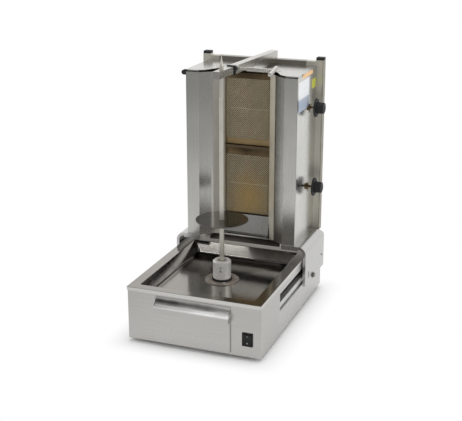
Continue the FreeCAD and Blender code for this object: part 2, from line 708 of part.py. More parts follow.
def gearbox():
    """Gear case under the pan, with its mounting flange and the bore for the shaft."""
    half = GEARBOX_SIZE / 2
    case = prism(rounded_rectangle(-half, half, SPIT_Y - half, SPIT_Y + half, 8.0), "xy",
                 GEARBOX_TOP - GEARBOX_HEIGHT, GEARBOX_TOP + GEARBOX_FLANGE_T / 2)
    flange = prism(rounded_rectangle(-GEARBOX_FLANGE_X / 2, GEARBOX_FLANGE_X / 2,
                                     SPIT_Y - GEARBOX_FLANGE_Y / 2, SPIT_Y + GEARBOX_FLANGE_Y / 2, 6.0),
                   "xy", GEARBOX_TOP, GEARBOX_TOP + GEARBOX_FLANGE_T)
    pocket = rod(FLANGE_BOSS_R + SCREW_HOLE_CLEARANCE, on_spit_axis(PAN_FLOOR - FLANGE_BOSS_LENGTH - 0.5),
                 Z_AXIS, FLANGE_BOSS_LENGTH + 1)
    bore = rod(SHAFT_R + RUNNING_FIT, on_spit_axis(PAN_FLOOR - FLANGE_BOSS_LENGTH - SHAFT_INTO_GEARBOX - 0.5),
               Z_AXIS, SHAFT_INTO_GEARBOX + FLANGE_BOSS_LENGTH)
    holes = [rod(FLANGE_SCREW_R + SCREW_HOLE_CLEARANCE,
                 spot - Z_AXIS * (FLANGE_T + TRAY_T + GEARBOX_FLANGE_T + 1), Z_AXIS, GEARBOX_FLANGE_T + 2)
             for spot in flange_screw_spots()]
    return case.fuse(flange).cut([pocket, bore] + holes).removeSplitter()


def gear_motor():
    """Motor can hanging below the gearbox, with its end cap."""
    top = GEARBOX_TOP - GEARBOX_HEIGHT
    can = rod(MOTOR_R, on_spit_axis(top - MOTOR_LENGTH), Z_AXIS, MOTOR_LENGTH)
    cap = rod(MOTOR_CAP_R, on_spit_axis(top - MOTOR_LENGTH - MOTOR_CAP_LENGTH), Z_AXIS,
              MOTOR_CAP_LENGTH + 1)
    return can.fuse(cap).removeSplitter()


def slide_rail():
    """Right grooved rail behind the slot."""
    outer = SHELL_INNER_X
    inner = outer - RAIL_DEPTH
    groove_top = GROOVE_BOTTOM + GROOVE_HEIGHT
    outline = [(inner, RAIL_BOTTOM), (outer, RAIL_BOTTOM), (outer, GROOVE_BOTTOM),
               (inner + RAIL_WEB, GROOVE_BOTTOM), (inner + RAIL_WEB, groove_top), (outer, groove_top),
               (outer, RAIL_BOTTOM + RAIL_HEIGHT), (inner, RAIL_BOTTOM + RAIL_HEIGHT)]
    return prism(outline, "xz", WRAP_END, SLOT_REAR_Y + SHELL_T)


def drawer_runner():
    """Right angle runner standing on the floor plate, its ledge under the drawer pan."""
    inner = DRAWER_PAN_WIDTH / 2 + RUNNER_GAP
    floor = FOOT_HEIGHT + SHELL_T
    ledge = DRAWER_PAN_BOTTOM - RUNNER_GAP
    path = [(inner + RUNNER_T, floor + RUNNER_HEIGHT), (inner + RUNNER_T, floor)]
    front = BASE_FRONT + 3 * SHELL_T
    web = prism(sheet_outline(path[::-1], RUNNER_T), "xz", front, DRAWER_BACK_Y)
    shelf = box(inner - RUNNER_LEDGE, inner + RUNNER_T, front, DRAWER_BACK_Y, ledge - RUNNER_T, ledge)
    return web.fuse(shelf).removeSplitter()


def drawer_front():
    """Proud drawer face with a full-width pull: sloped hood, round bead and down-turned lip."""
    half = DRAWER_WIDTH / 2
    seat = BASE_FRONT - DRAWER_GAP
    face = BASE_FRONT - DRAWER_FACE_PROUD
    lip = BASE_FRONT - PULL_PROUD
    bead_y = lip + PULL_BEAD_R
    fold = (seat - PULL_HOOD_REACH, DRAWER_TOP - PULL_HOOD_DROP)
    hood_path = [(seat - DRAWER_SHEET_T, DRAWER_TOP), fold + (PULL_BEND_R,),
                 (bead_y + PULL_HOOD_OVERLAP, PULL_BEAD_Z + PULL_BEAD_R - PULL_HOOD_OVERLAP)]
    hood = prism(sheet_outline(hood_path, DRAWER_SHEET_T), "yz", -half, half)
    bead = rod(PULL_BEAD_R, FreeCAD.Vector(-half, bead_y, PULL_BEAD_Z), X_AXIS, 2 * half)
    lip_path = [(lip, PULL_BEAD_Z), (lip, PULL_LIP_BOTTOM)]
    flap = prism(sheet_outline(lip_path, DRAWER_SHEET_T), "yz", -half, half)
    face_path = [(seat, DRAWER_TOP - FACE_TOP_DROP), (face, DRAWER_TOP - FACE_TOP_DROP),
                 (face, DRAWER_BOTTOM), (seat, DRAWER_BOTTOM)]
    panel = prism(sheet_outline(face_path, DRAWER_SHEET_T), "yz", -half, half)
    cheek_outline = [(seat, DRAWER_TOP), (seat, DRAWER_BOTTOM), (face, DRAWER_BOTTOM),
                     (face, PULL_LIP_BOTTOM), (lip, PULL_LIP_BOTTOM), (lip, PULL_BEAD_Z),
                     (bead_y, PULL_BEAD_Z + PULL_BEAD_R), fold]
    cheeks = [prism(cheek_outline, "yz", -half, -half + DRAWER_SHEET_T),
              prism(cheek_outline, "yz", half - DRAWER_SHEET_T, half)]
    return panel.fuse([hood, bead, flap] + cheeks).removeSplitter()


def drawer_pan():
    """Open fat pan behind the drawer face."""
    half = DRAWER_PAN_WIDTH / 2
    front = BASE_FRONT - DRAWER_FACE_PROUD + DRAWER_SHEET_T + SEAM_GAP
    top = DRAWER_PAN_BOTTOM + DRAWER_PAN_HEIGHT
    corner_r = 6.0
    outer = prism(rounded_rectangle(-half, half, front, DRAWER_BACK_Y, corner_r), "xy", DRAWER_PAN_BOTTOM, top)
    inner = prism(rounded_rectangle(-half + DRAWER_PAN_T, half - DRAWER_PAN_T, front + DRAWER_PAN_T,
                                    DRAWER_BACK_Y - DRAWER_PAN_T, corner_r - DRAWER_PAN_T), "xy",
                  DRAWER_PAN_BOTTOM + DRAWER_PAN_T, top + 1)
    return outer.cut(inner)


def switch_housing():
    """Bezel and hollow body of the rocker switch."""
    front = BASE_FRONT - SWITCH_BEZEL_T
    half_w = SWITCH_WIDTH / 2
    half_h = SWITCH_HEIGHT / 2
    bezel = prism(rounded_rectangle(SWITCH_X - half_w, SWITCH_X + half_w, SWITCH_Z - half_h,
                                    SWITCH_Z + half_h, 2.0), "xz", front, BASE_FRONT)
    body_w = SWITCH_BODY_WIDTH / 2 - SEAM_GAP
    body_h = SWITCH_BODY_HEIGHT / 2 - SEAM_GAP
    body = box(SWITCH_X - body_w, SWITCH_X + body_w, BASE_FRONT - SWITCH_BEZEL_T / 2,
               BASE_FRONT + SWITCH_BODY_DEPTH, SWITCH_Z - body_h, SWITCH_Z + body_h)
    hollow = box(SWITCH_X - body_w + SWITCH_WALL, SWITCH_X + body_w - SWITCH_WALL, front - 1,
                 BASE_FRONT + SWITCH_BODY_DEPTH - SWITCH_WALL, SWITCH_Z - body_h + SWITCH_WALL,
                 SWITCH_Z + body_h - SWITCH_WALL)
    reach = body_w - SWITCH_WALL + ROCKER_PIVOT_REACH + SEAM_GAP
    seat = rod(ROCKER_PIVOT_R + RUNNING_FIT, FreeCAD.Vector(SWITCH_X - reach, BASE_FRONT, SWITCH_Z), X_AXIS,
               2 * reach)
    return bezel.fuse(body).cut([hollow, seat]).removeSplitter()


def rocker():
    """Dished rocker on two small pivots."""
    half_w = SWITCH_BODY_WIDTH / 2 - SEAM_GAP - SWITCH_WALL - ROCKER_GAP
    half_h = SWITCH_BODY_HEIGHT / 2 - SEAM_GAP - SWITCH_WALL - ROCKER_GAP
    front = BASE_FRONT - ROCKER_PROUD
    back = BASE_FRONT + ROCKER_DEPTH
    outline = [(front, SWITCH_Z - half_h + 0.8), (front + ROCKER_DISH, SWITCH_Z),
               (front, SWITCH_Z + half_h - 0.8), (BASE_FRONT, SWITCH_Z + half_h),
               (back, SWITCH_Z + half_h * 0.6), (back, SWITCH_Z - half_h * 0.6),
               (BASE_FRONT, SWITCH_Z - half_h)]
    body = prism(outline, "yz", SWITCH_X - half_w, SWITCH_X + half_w)
    reach = half_w + ROCKER_GAP + ROCKER_PIVOT_REACH
    pivots = rod(ROCKER_PIVOT_R, FreeCAD.Vector(SWITCH_X - reach, BASE_FRONT, SWITCH_Z), X_AXIS, 2 * reach)
    return body.fuse(pivots).removeSplitter()


def terminal_block():
    """Terminal block on the floor plate, with its row of wire openings."""
    length, depth, height = TERMINAL_SIZE
    floor = FOOT_HEIGHT + SHELL_T
    block = box(MAINS_X - length / 2, MAINS_X + length / 2, TERMINAL_Y - depth / 2,
                TERMINAL_Y + depth / 2, floor, floor + height)
    way_count = 5
    pitch = length / way_count
    ways = []
    for i in range(way_count):
        x = MAINS_X - length / 2 + pitch * (i + 0.5)
        ways.append(rod(2.2, FreeCAD.Vector(x, TERMINAL_Y - depth / 2 - 1, floor + height / 3), Y_AXIS,
                        depth + 2))
    return block.cut(ways)


def cable_gland():
    """Gland in the rear wall where the mains lead goes in."""
    start = FreeCAD.Vector(MAINS_X, BASE_BACK - SHELL_T - GLAND_LENGTH / 2, GLAND_Z)
    neck = rod(GLAND_NECK_R, start, Y_AXIS, GLAND_LENGTH / 2 + SHELL_T + 1)
    nut = rod(GLAND_R, FreeCAD.Vector(MAINS_X, BASE_BACK - SHELL_T - 6.0, GLAND_Z), Y_AXIS, 6.0)
    head_start = FreeCAD.Vector(MAINS_X, BASE_BACK, GLAND_Z)
    head = Part.makeCone(GLAND_R, GLAND_NECK_R, 5.5, head_start, Y_AXIS)
    bore = rod(GLAND_BORE_R, start - Y_AXIS, Y_AXIS, GLAND_LENGTH * 2)
    return neck.fuse([nut, head]).cut(bore).removeSplitter()


def drive_shaft():
    """Shaft from the gearbox up into the socket."""
    bottom = PAN_FLOOR - FLANGE_BOSS_LENGTH - SHAFT_INTO_GEARBOX
    return rod(SHAFT_R, on_spit_axis(bottom), Z_AXIS, SOCKET_BOTTOM + SHAFT_GRIP - bottom)


def set_screw_way(drop, radius, start_r, end_r):
    """A round bar towards the front from the spit's axis, at a drop below the socket's top."""
    start = FreeCAD.Vector(0, SPIT_Y - start_r, SOCKET_TOP - drop)
    return rod(radius, start, -Y_AXIS, end_r - start_r)


def drive_socket():
    """Heavy socket on the shaft, with a round mouth above the square seat of the spit."""
    body = rod(SOCKET_R, on_spit_axis(SOCKET_BOTTOM), Z_AXIS, SOCKET_HEIGHT)
    rim = [edge for edge in body.Edges if edge.BoundBox.ZMin > SOCKET_TOP - 0.1]
    body = body.makeChamfer(SOCKET_CHAMFER, rim)
    mouth = rod(SOCKET_MOUTH_R, on_spit_axis(SOCKET_TOP - SOCKET_MOUTH_DEPTH), Z_AXIS,
                SOCKET_MOUTH_DEPTH + 1)
    half = ROD_SIZE / 2 + ROD_FIT
    seat = box(-half, half, SPIT_Y - half, SPIT_Y + half, SOCKET_TOP - SOCKET_DEPTH, SOCKET_TOP + 1)
    grip = rod(SHAFT_R, on_spit_axis(SOCKET_BOTTOM - 1), Z_AXIS, SHAFT_GRIP + 1)
    ways = [set_screw_way(drop, SET_SCREW_R, 0.0, SOCKET_R + 1) for drop in SET_SCREW_DROPS]
    return turned_on_spit(body.cut([mouth, seat, grip] + ways))


def socket_screws():
    """Two set screws in the front of the socket."""
    screws = []
    for drop in SET_SCREW_DROPS:
        screw = set_screw_way(drop, SET_SCREW_R, ROD_SIZE / 2 + 2 * ROD_FIT, SOCKET_R - SET_SCREW_RECESS)
        key = set_screw_way(drop, SET_SCREW_R / 2, SOCKET_R - 5.0, SOCKET_R)
        screws.append(turned_on_spit(screw.cut(key)))
    return screws


def seal_ring():
    """Black ring round the foot of the socket."""
    outer = rod(SOCKET_R + SEAL_T, on_spit_axis(SOCKET_BOTTOM), Z_AXIS, SEAL_HEIGHT)
    inner = rod(SOCKET_R, on_spit_axis(SOCKET_BOTTOM - 1), Z_AXIS, SEAL_HEIGHT + 2)
    return outer.cut(inner)


def spit_rod():
    """Square spit with a round neck and a spear point."""
    half = ROD_SIZE / 2
    square = box(-half, half, SPIT_Y - half, SPIT_Y + half, ROD_BOTTOM, ROD_NECK_Z)
    outline = [(0, ROD_NECK_Z - 1), (NECK_R, ROD_NECK_Z - 1), (NECK_R, SPEAR_BASE_Z),
               (SPEAR_NARROW_R, SPEAR_NARROW_Z), (TIP_R, TIP_Z), (0, TIP_Z)]
    corners = [FreeCAD.Vector(r, SPIT_Y, z) for r, z in outline]
    face = Part.Face(Part.makePolygon(corners + corners[:1]))
    point_end = face.revolve(on_spit_axis(0), Z_AXIS, 360)
    hole = rod(DISC_PIN_R, FreeCAD.Vector(-ROD_SIZE, SPIT_Y, DISC_Z - DISC_PIN_R), X_AXIS, 2 * ROD_SIZE)
    return turned_on_spit(square.fuse(point_end).cut(hole).removeSplitter())


def meat_disc():
    """Round plate that carries the meat."""
    disc = rod(DISC_R, on_spit_axis(DISC_Z), Z_AXIS, DISC_T)
    rim = [edge for edge in disc.Edges if edge.Length > DISC_R]
    disc = disc.makeFillet(DISC_T * 0.3, [edge for edge in rim if edge.Curve.TypeId == "Part::GeomCircle"])
    half = ROD_SIZE / 2 + ROD_FIT
    hole = box(-half, half, SPIT_Y - half, SPIT_Y + half, DISC_Z - 1, DISC_Z + DISC_T + 1)
    return turned_on_spit(disc.cut(hole))


def disc_pin():
    """Cross pin in the spit that the meat disc rests on."""
    start = FreeCAD.Vector(-DISC_PIN_LENGTH / 2, SPIT_Y, DISC_Z - DISC_PIN_R)
    return turned_on_spit(rod(DISC_PIN_R, start, X_AXIS, DISC_PIN_LENGTH))


def bracket():
    """Right bracket: top plate, round bend and side plate, with an inward rim along its front."""
    path = [(BRACKET_FACE_X, BRACKET_BOTTOM), (BRACKET_FACE_X, BRACKET_TOP, BRACKET_BEND_R),
            (BRACKET_INNER_X, BRACKET_TOP)]
    plate = prism(sheet_outline(path, BRACKET_T), "xz", BRACKET_FRONT_Y, BRACKET_REAR_Y)
    side_view = [(BRACKET_FRONT_Y, BRACKET_BOTTOM), (BRACKET_REAR_Y, BRACKET_BOTTOM),
                 (BRACKET_REAR_Y, BRACKET_TOP, BRACKET_TAIL_R), (BRACKET_FRONT_Y, BRACKET_TOP)]
    plate = plate.common(prism(side_view, "yz", BRACKET_INNER_X - 1, BRACKET_FACE_X + 1))
    plate = plate.cut(box(BRACKET_INNER_X - 1, BRACKET_INNER_FACE - BRACKET_RIM, CAB_BACK_Y,
                          BRACKET_REAR_Y + 1, BRACKET_BOTTOM, BRACKET_TOP + 1))
    rim = prism(sheet_outline(path, BRACKET_RIM), "xz", BRACKET_FRONT_Y, BRACKET_FRONT_Y + BRACKET_T)
    lip = box(BRACKET_INNER_X, BRACKET_LIP_END_X, BRACKET_FRONT_Y, BRACKET_FRONT_Y + BRACKET_T,
              BRACKET_TOP - BRACKET_LIP_HEIGHT, BRACKET_TOP - BRACKET_T / 2)
    hole = rod(BOLT_R + SCREW_HOLE_CLEARANCE, FreeCAD.Vector(BRACKET_INNER_FACE - 1, SHOE_Y, SHOE_Z), X_AXIS,
               BRACKET_T + 2)
    slit = prism(rounded_rectangle(BRACKET_SLIT_Y - BRACKET_SLIT_R, BRACKET_SLIT_Y + BRACKET_SLIT_R,
                                   BRACKET_SLIT_BOTTOM, BRACKET_SLIT_BOTTOM + BRACKET_SLIT_LENGTH,
                                   BRACKET_SLIT_R * 0.95),
                 "yz", BRACKET_INNER_FACE - 1, BRACKET_FACE_X + 1)
    return plate.fuse([rim, lip]).cut([hole, slit]).removeSplitter()


def slide_block():
    """Right slide block: fills the slot's groove and carries the bracket."""
    rail_inner = SHELL_INNER_X - RAIL_DEPTH + RAIL_WEB
    half = GROOVE_HEIGHT / 2 - SHOE_CLEARANCE
    block = box(rail_inner + SHOE_CLEARANCE, BRACKET_INNER_FACE, SHOE_Y - SHOE_LENGTH / 2,
                SHOE_Y + SHOE_LENGTH / 2, SHOE_Z - half, SHOE_Z + half)
    bore = rod(BOLT_R, FreeCAD.Vector(rail_inner, SHOE_Y, SHOE_Z), X_AXIS, BRACKET_FACE_X - rail_inner)
    return block.cut(bore)


def hexagon(radius, start, axis, length):
    """A hexagonal bar from start along axis."""
    plane_turn = FreeCAD.Rotation(Z_AXIS, axis)
    corners = []
    for i in range(7):
        angle = math.radians(60 * i)
        corners.append(start + plane_turn.multVec(FreeCAD.Vector(math.cos(angle), math.sin(angle), 0) * radius))
    return Part.Face(Part.makePolygon(corners)).extrude(axis * length)


def bracket_bolt():
    """Right bolt with its washer, through the bracket into the slide block."""
    face = FreeCAD.Vector(BRACKET_FACE_X, SHOE_Y, SHOE_Z)
    tip_x = SHELL_INNER_X - RAIL_DEPTH + RAIL_WEB + 2 * SHOE_CLEARANCE
    washer = rod(WASHER_R, face, X_AXIS, WASHER_T)
    head = hexagon(BOLT_HEAD_R, face + X_AXIS * (WASHER_T / 2), X_AXIS, BOLT_HEAD_H)
    shank = rod(BOLT_R, FreeCAD.Vector(tip_x, SHOE_Y, SHOE_Z), X_AXIS, BRACKET_FACE_X + WASHER_T - tip_x)
    return washer.fuse([head, shank]).removeSplitter()


def cabinet_side():
    """Right column: side wall, column front, slanted facet and the small step beside it."""
    path = [(FACET_STEP_X - STEP_SIZE, FACET_STEP_Y + STEP_SIZE), (FACET_STEP_X, FACET_STEP_Y),
            (COLUMN_INNER_X, CAB_FRONT_Y, CAB_BEND_R), (CAB_HALF_W, CAB_FRONT_Y, CAB_BEND_R),
            (CAB_HALF_W, CAB_BACK_Y)]
    sheet = prism(sheet_outline(path, CAB_T), "xy", BRACKET_TOP, CAB_TOP - TOP_T)
    front_gap = box(0, CAB_HALF_W + 1, CAB_FRONT_Y - 1, OPENING_Y, CAB_TOP - TOP_T - FRONT_TOP_GAP,
                    CAB_TOP)
    cuts = [front_gap]
    for y, z in (VALVE_UPPER, VALVE_LOWER):
        cuts.append(rod(VALVE_NOSE_R + SCREW_HOLE_CLEARANCE, FreeCAD.Vector(CAB_HALF_W - 2 * CAB_T, y, z),
                        X_AXIS, 4 * CAB_T))
    return sheet, cuts


def reflector():
    """Right reflector strip beside the burners, with its jamb folded back to them."""
    step_x = FACET_STEP_X - STEP_SIZE - SEAM_GAP
    step_y = FACET_STEP_Y + STEP_SIZE + SEAM_GAP
    path = [(OPENING_HALF_W, OPENING_Y + JAMB_DEPTH), (OPENING_HALF_W, OPENING_Y), (step_x, step_y)]
    top = CAB_TOP - TOP_T - FRONT_TOP_GAP
    return prism(sheet_outline(path, CAB_T), "xy", BRACKET_TOP + CAB_T + SEAM_GAP, top)


def cabinet_back():
    """Rear wall of the cabinet, with the hole for the gas inlet and two rows of slits."""
    inner = CAB_HALF_W - CAB_T - SEAM_GAP
    wall = box(-inner, inner, CAB_BACK_Y - CAB_T, CAB_BACK_Y, BRACKET_TOP + CAB_T, CAB_TOP - TOP_T)
    cuts = [rod(MANIFOLD_R + 1.0, FreeCAD.Vector(MANIFOLD_X, CAB_BACK_Y - 2 * CAB_T, MANIFOLD_BOTTOM), Y_AXIS,
                4 * CAB_T)]
    slit_length = 80.0
    slit_height = 6.0
    slit_pitch = 18.0
    for column in (-1, 1):
        for row in range(8):
            x = column * slit_length * 0.7
            z = CAB_TOP - 3 * slit_pitch - row * slit_pitch
            outline = rounded_rectangle(x - slit_length / 2, x + slit_length / 2, z - slit_height / 2,
                                        z + slit_height / 2, slit_height / 2.1)
            cuts.append(prism(outline, "xz", CAB_BACK_Y - 2 * CAB_T, CAB_BACK_Y + CAB_T))
    return wall.cut(cuts)


def both_sides(corners):
    """The corners given for the right, followed by their mirror images from last to first."""
    return corners + [(-c[0],) + tuple(c[1:]) for c in corners[::-1]]


def cabinet_top():
    """Top plate with its cut-back middle, two holes and the flanges that stand in the cabinet."""
    front = CAB_FRONT_Y - TOP_FRONT_OVERHANG
    right = [(CAB_HALF_W, CAB_BACK_Y), (CAB_HALF_W, front, 4.0), (TOP_COLUMN_X, front),
             (TOP_SHOULDER_X, TOP_SHOULDER_Y), (TOP_NOTCH_X, TOP_CENTRE_Y)]
    plate = prism(both_sides(right), "xy", CAB_TOP - TOP_T, CAB_TOP)
    inner = CAB_HALF_W - CAB_T - SEAM_GAP
    flange_bottom = CAB_TOP - TOP_T - TOP_FLANGE_HEIGHT
    flanges = []
    for side in (-1, 1):
        outer_x = side * inner
        inner_x = side * (inner - CAB_T)
        flanges.append(box(min(outer_x, inner_x), max(outer_x, inner_x), CAB_FRONT_Y + TOP_FLANGE_SETBACK,
                           CAB_BACK_Y - 2 * CAB_T, flange_bottom, CAB_TOP - TOP_T / 2))
        near_x = side * (COLUMN_INNER_X + CAB_T)
        flanges.append(box(min(near_x, outer_x), max(near_x, outer_x), CAB_FRONT_Y + TOP_FLANGE_SETBACK,
                           CAB_FRONT_Y + TOP_FLANGE_SETBACK + CAB_T, flange_bottom, CAB_TOP - TOP_T / 2))
    holes = [rod(TOP_HOLE_R, FreeCAD.Vector(side * TOP_HOLE_X, TOP_HOLE_Y, CAB_TOP - TOP_T - 1), Z_AXIS,
                 TOP_T + 2) for side in (-1, 1)]
    return plate.fuse(flanges).cut(holes).removeSplitter()


def cabinet_floor():
    """Floor of the cabinet, lying on the two brackets inside the columns."""
    inner = CAB_HALF_W - CAB_T - SEAM_GAP
    front = CAB_FRONT_Y + CAB_T + SEAM_GAP
    right = [(inner, CAB_BACK_Y - SEAM_GAP), (inner, front), (COLUMN_INNER_X + CAB_T, front),
             (FACET_STEP_X + 2 * CAB_T, FACET_STEP_Y + CAB_T), (FACET_STEP_X - STEP_SIZE + 2 * CAB_T,
                                                               FACET_STEP_Y + STEP_SIZE + CAB_T)]
    return prism(both_sides(right), "xy", BRACKET_TOP, BRACKET_TOP + CAB_T)


def lower_panel():
    """Dark slanted panel hanging below the cabinet floor between the brackets."""
    path = [(LOWER_PANEL_Y + LOWER_PANEL_FLANGE, BRACKET_TOP), (LOWER_PANEL_Y, BRACKET_TOP),
            (LOWER_PANEL_Y - LOWER_PANEL_RAKE, BRACKET_TOP - LOWER_PANEL_DROP)]
    return prism(sheet_outline(path, CAB_T), "yz", -LOWER_PANEL_HALF_W, LOWER_PANEL_HALF_W)


def shield_plate():
    """Slanted bright plate below the lower burner, with a folded lip."""
    half = OPENING_HALF_W - SEAM_GAP
    path = [(SHIELD_TOP_Y, SHIELD_TOP), (SHIELD_BOTTOM_Y, SHIELD_BOTTOM),
            (SHIELD_BOTTOM_Y - SHIELD_LIP, SHIELD_BOTTOM - SHIELD_LIP_DROP)]
    outline = sheet_outline(path, CAB_T)
    return prism(outline, "yz", -half, half)


def burner_box(sizes):
    """Burner case open to the front behind a wide frame, with a ledge for the plaques."""
    window_bottom, window_top, bottom, top = sizes
    half = OPENING_HALF_W - SEAM_GAP
    back = BURNER_FACE_Y + BURNER_DEPTH
    case = box(-half, half, BURNER_FACE_Y, back, bottom, top)
    room = box(-half + BURNER_T, half - BURNER_T, BURNER_FACE_Y + BURNER_T, back - BURNER_T,
               bottom + BURNER_T, top - BURNER_T)
    window = box(-WINDOW_HALF_W, WINDOW_HALF_W, BURNER_FACE_Y - 1,
                 BURNER_FACE_Y + BURNER_T + 1, window_bottom, window_top)
    ledge_y = BURNER_FACE_Y + PLAQUE_SETBACK + PLAQUE_T + PLAQUE_GAP
    ledge = box(-half + BURNER_T / 2, half - BURNER_T / 2, ledge_y, ledge_y + BURNER_T, bottom + BURNER_T / 2,
                top - BURNER_T / 2)
    gas_way = box(-PLAQUE_HALF_W + PLAQUE_LEDGE, PLAQUE_HALF_W - PLAQUE_LEDGE, ledge_y - 1,
                  ledge_y + BURNER_T + 1, window_bottom + PLAQUE_MARGIN + PLAQUE_LEDGE,
                  window_top - PLAQUE_MARGIN - PLAQUE_LEDGE)
    return case.cut([room, window]).fuse(ledge.cut(gas_way)).removeSplitter()


def burner_mesh(sizes):
    """Protective screen on the face of a burner, across the whole opening, as a thin sheet."""
    half = OPENING_HALF_W - SCREEN_SIDE_GAP
    return box(-half, half, BURNER_FACE_Y - MESH_T, BURNER_FACE_Y, sizes[0], sizes[1])


def ceramic_plaques():
    """Two ceramic plaques behind each mesh, one above the other."""
    plaques = []
    front = BURNER_FACE_Y + PLAQUE_SETBACK
    for window_bottom, window_top, _, _ in (BURNER_LOWER, BURNER_UPPER):
        middle = (window_bottom + window_top) / 2
        for low, high in ((window_bottom + PLAQUE_MARGIN, middle - PLAQUE_SEAM / 2),
                          (middle + PLAQUE_SEAM / 2, window_top - PLAQUE_MARGIN)):
            plaques.append(box(-PLAQUE_HALF_W, PLAQUE_HALF_W, front, front + PLAQUE_T, low, high))
    return plaques


def burner_divider():
    """Bright strip between the two burners."""
    half = OPENING_HALF_W - SEAM_GAP
    middle = (BURNER_LOWER[3] + BURNER_UPPER[2]) / 2
    path = [(BURNER_FACE_Y, middle - DIVIDER_HALF_H), (OPENING_Y + 2.0, middle - DIVIDER_HALF_H),
            (OPENING_Y + 2.0, middle + DIVIDER_HALF_H), (BURNER_FACE_Y, middle + DIVIDER_HALF_H)]
    return prism(sheet_outline(path[::-1], CAB_T), "yz", -half, half)


def gas_valve(place):
    """Gas valve behind the right wall; its nose comes through the wall."""
    y, z = place
    inner_face = CAB_HALF_W - CAB_T - SEAM_GAP
    body = rod(VALVE_R, FreeCAD.Vector(inner_face - VALVE_LENGTH, y, z), X_AXIS, VALVE_LENGTH)
    nose = rod(VALVE_NOSE_R, FreeCAD.Vector(inner_face - 1, y, z), X_AXIS,
               CAB_T + SEAM_GAP + 1 + VALVE_NOSE_REACH)
    end = CAB_HALF_W + VALVE_NOSE_REACH
    bore = rod(STEM_R + RUNNING_FIT, FreeCAD.Vector(end - VALVE_BORE_DEPTH, y, z), X_AXIS,
               VALVE_BORE_DEPTH + 1)
    return body.fuse(nose).cut(bore).removeSplitter()


def valve_stem(place):
    """Stem that turns the valve, with a flat for the knob."""
    y, z = place
    start = CAB_HALF_W + VALVE_NOSE_REACH - VALVE_BORE_DEPTH + RUNNING_FIT
    end = CAB_HALF_W + STEM_REACH
    stem = rod(STEM_R, FreeCAD.Vector(start, y, z), X_AXIS, end - start)
    flat = box(CAB_HALF_W + KNOB_STANDOFF, end + 1, y - STEM_R, y + STEM_R, z + STEM_R * 0.7,
               z + 2 * STEM_R)
    return stem.cut(flat)


def knob(place):
    """Ribbed control knob on a wide round skirt."""
    y, z = place
    start = CAB_HALF_W + KNOB_STANDOFF
    skirt = rod(KNOB_SKIRT_R, FreeCAD.Vector(start, y, z), X_AXIS, KNOB_SKIRT_T)
    rim = [edge for edge in skirt.Edges if edge.BoundBox.XMin > start + KNOB_SKIRT_T - 0.1]
    skirt = skirt.makeFillet(KNOB_EDGE_R, rim)
    end = start + KNOB_SKIRT_T + KNOB_GRIP_LENGTH
    grip = Part.makeCone(KNOB_GRIP_R, KNOB_GRIP_R - 1.5, KNOB_GRIP_LENGTH + 1,
                         FreeCAD.Vector(start + KNOB_SKIRT_T - 1, y, z), X_AXIS)
    rim = [edge for edge in grip.Edges if edge.BoundBox.XMin > end - 0.1]
    grip = grip.makeFillet(KNOB_EDGE_R, rim)
    grooves = []
    for i in range(KNOB_RIB_COUNT):
        angle = math.radians(i * 360.0 / KNOB_RIB_COUNT)
        spot = FreeCAD.Vector(start + KNOB_SKIRT_T, y + math.cos(angle) * KNOB_GRIP_R,
                              z + math.sin(angle) * KNOB_GRIP_R)
        grooves.append(rod(KNOB_RIB_R, spot, X_AXIS, KNOB_GRIP_LENGTH + 1))
    grip = grip.cut(grooves)
    bore = rod(STEM_R + RUNNING_FIT, FreeCAD.Vector(start - 1, y, z), X_AXIS, end - KNOB_END_WALL - start + 1)
    return skirt.fuse(grip).cut(bore).removeSplitter()


def gas_pipes():
    """Gas manifold with its stubs and inlet leg, and the two injector pipes to the burners."""
    top = VALVE_UPPER[1] + MANIFOLD_ABOVE_VALVE
    riser = rod(MANIFOLD_R, FreeCAD.Vector(MANIFOLD_X, MANIFOLD_Y, MANIFOLD_BOTTOM), Z_AXIS,
                top - MANIFOLD_BOTTOM)
    elbow = Part.makeSphere(MANIFOLD_R, FreeCAD.Vector(MANIFOLD_X, MANIFOLD_Y, MANIFOLD_BOTTOM))
    leg = rod(MANIFOLD_R, FreeCAD.Vector(MANIFOLD_X, MANIFOLD_Y, MANIFOLD_BOTTOM), Y_AXIS,
              CAB_BACK_Y - MANIFOLD_Y + SEAM_GAP)
    pieces = [elbow, leg]
    injectors = []
    for y, z in (VALVE_UPPER, VALVE_LOWER):
        start_y = y + VALVE_R + SEAM_GAP
        pieces.append(rod(MANIFOLD_STUB_R, FreeCAD.Vector(MANIFOLD_X, start_y, z), Y_AXIS, MANIFOLD_Y - start_y))
        start_x = OPENING_HALF_W
        end_x = CAB_HALF_W - CAB_T - SEAM_GAP - VALVE_LENGTH - SEAM_GAP
        pipe_y = min(y, BURNER_FACE_Y + BURNER_DEPTH - INJECTOR_R - 2.0)
        injectors.append(rod(INJECTOR_R, FreeCAD.Vector(start_x, pipe_y, z), X_AXIS, end_x - start_x))
    return [riser.fuse(pieces).removeSplitter()] + injectors


def gas_inlet():
    """Threaded gas inlet behind the cabinet, with its hexagon."""
    start = FreeCAD.Vector(MANIFOLD_X, CAB_BACK_Y + 2 * SEAM_GAP, MANIFOLD_BOTTOM)
    hexagon_part = hexagon(INLET_HEX_R, start, Y_AXIS, INLET_HEX_T)
    nose = rod(INLET_R, start, Y_AXIS, INLET_REACH)
    bore = rod(INLET_BORE_R, start - Y_AXIS, Y_AXIS, INLET_REACH + 2)
    return hexagon_part.fuse(nose).cut(bore).removeSplitter()


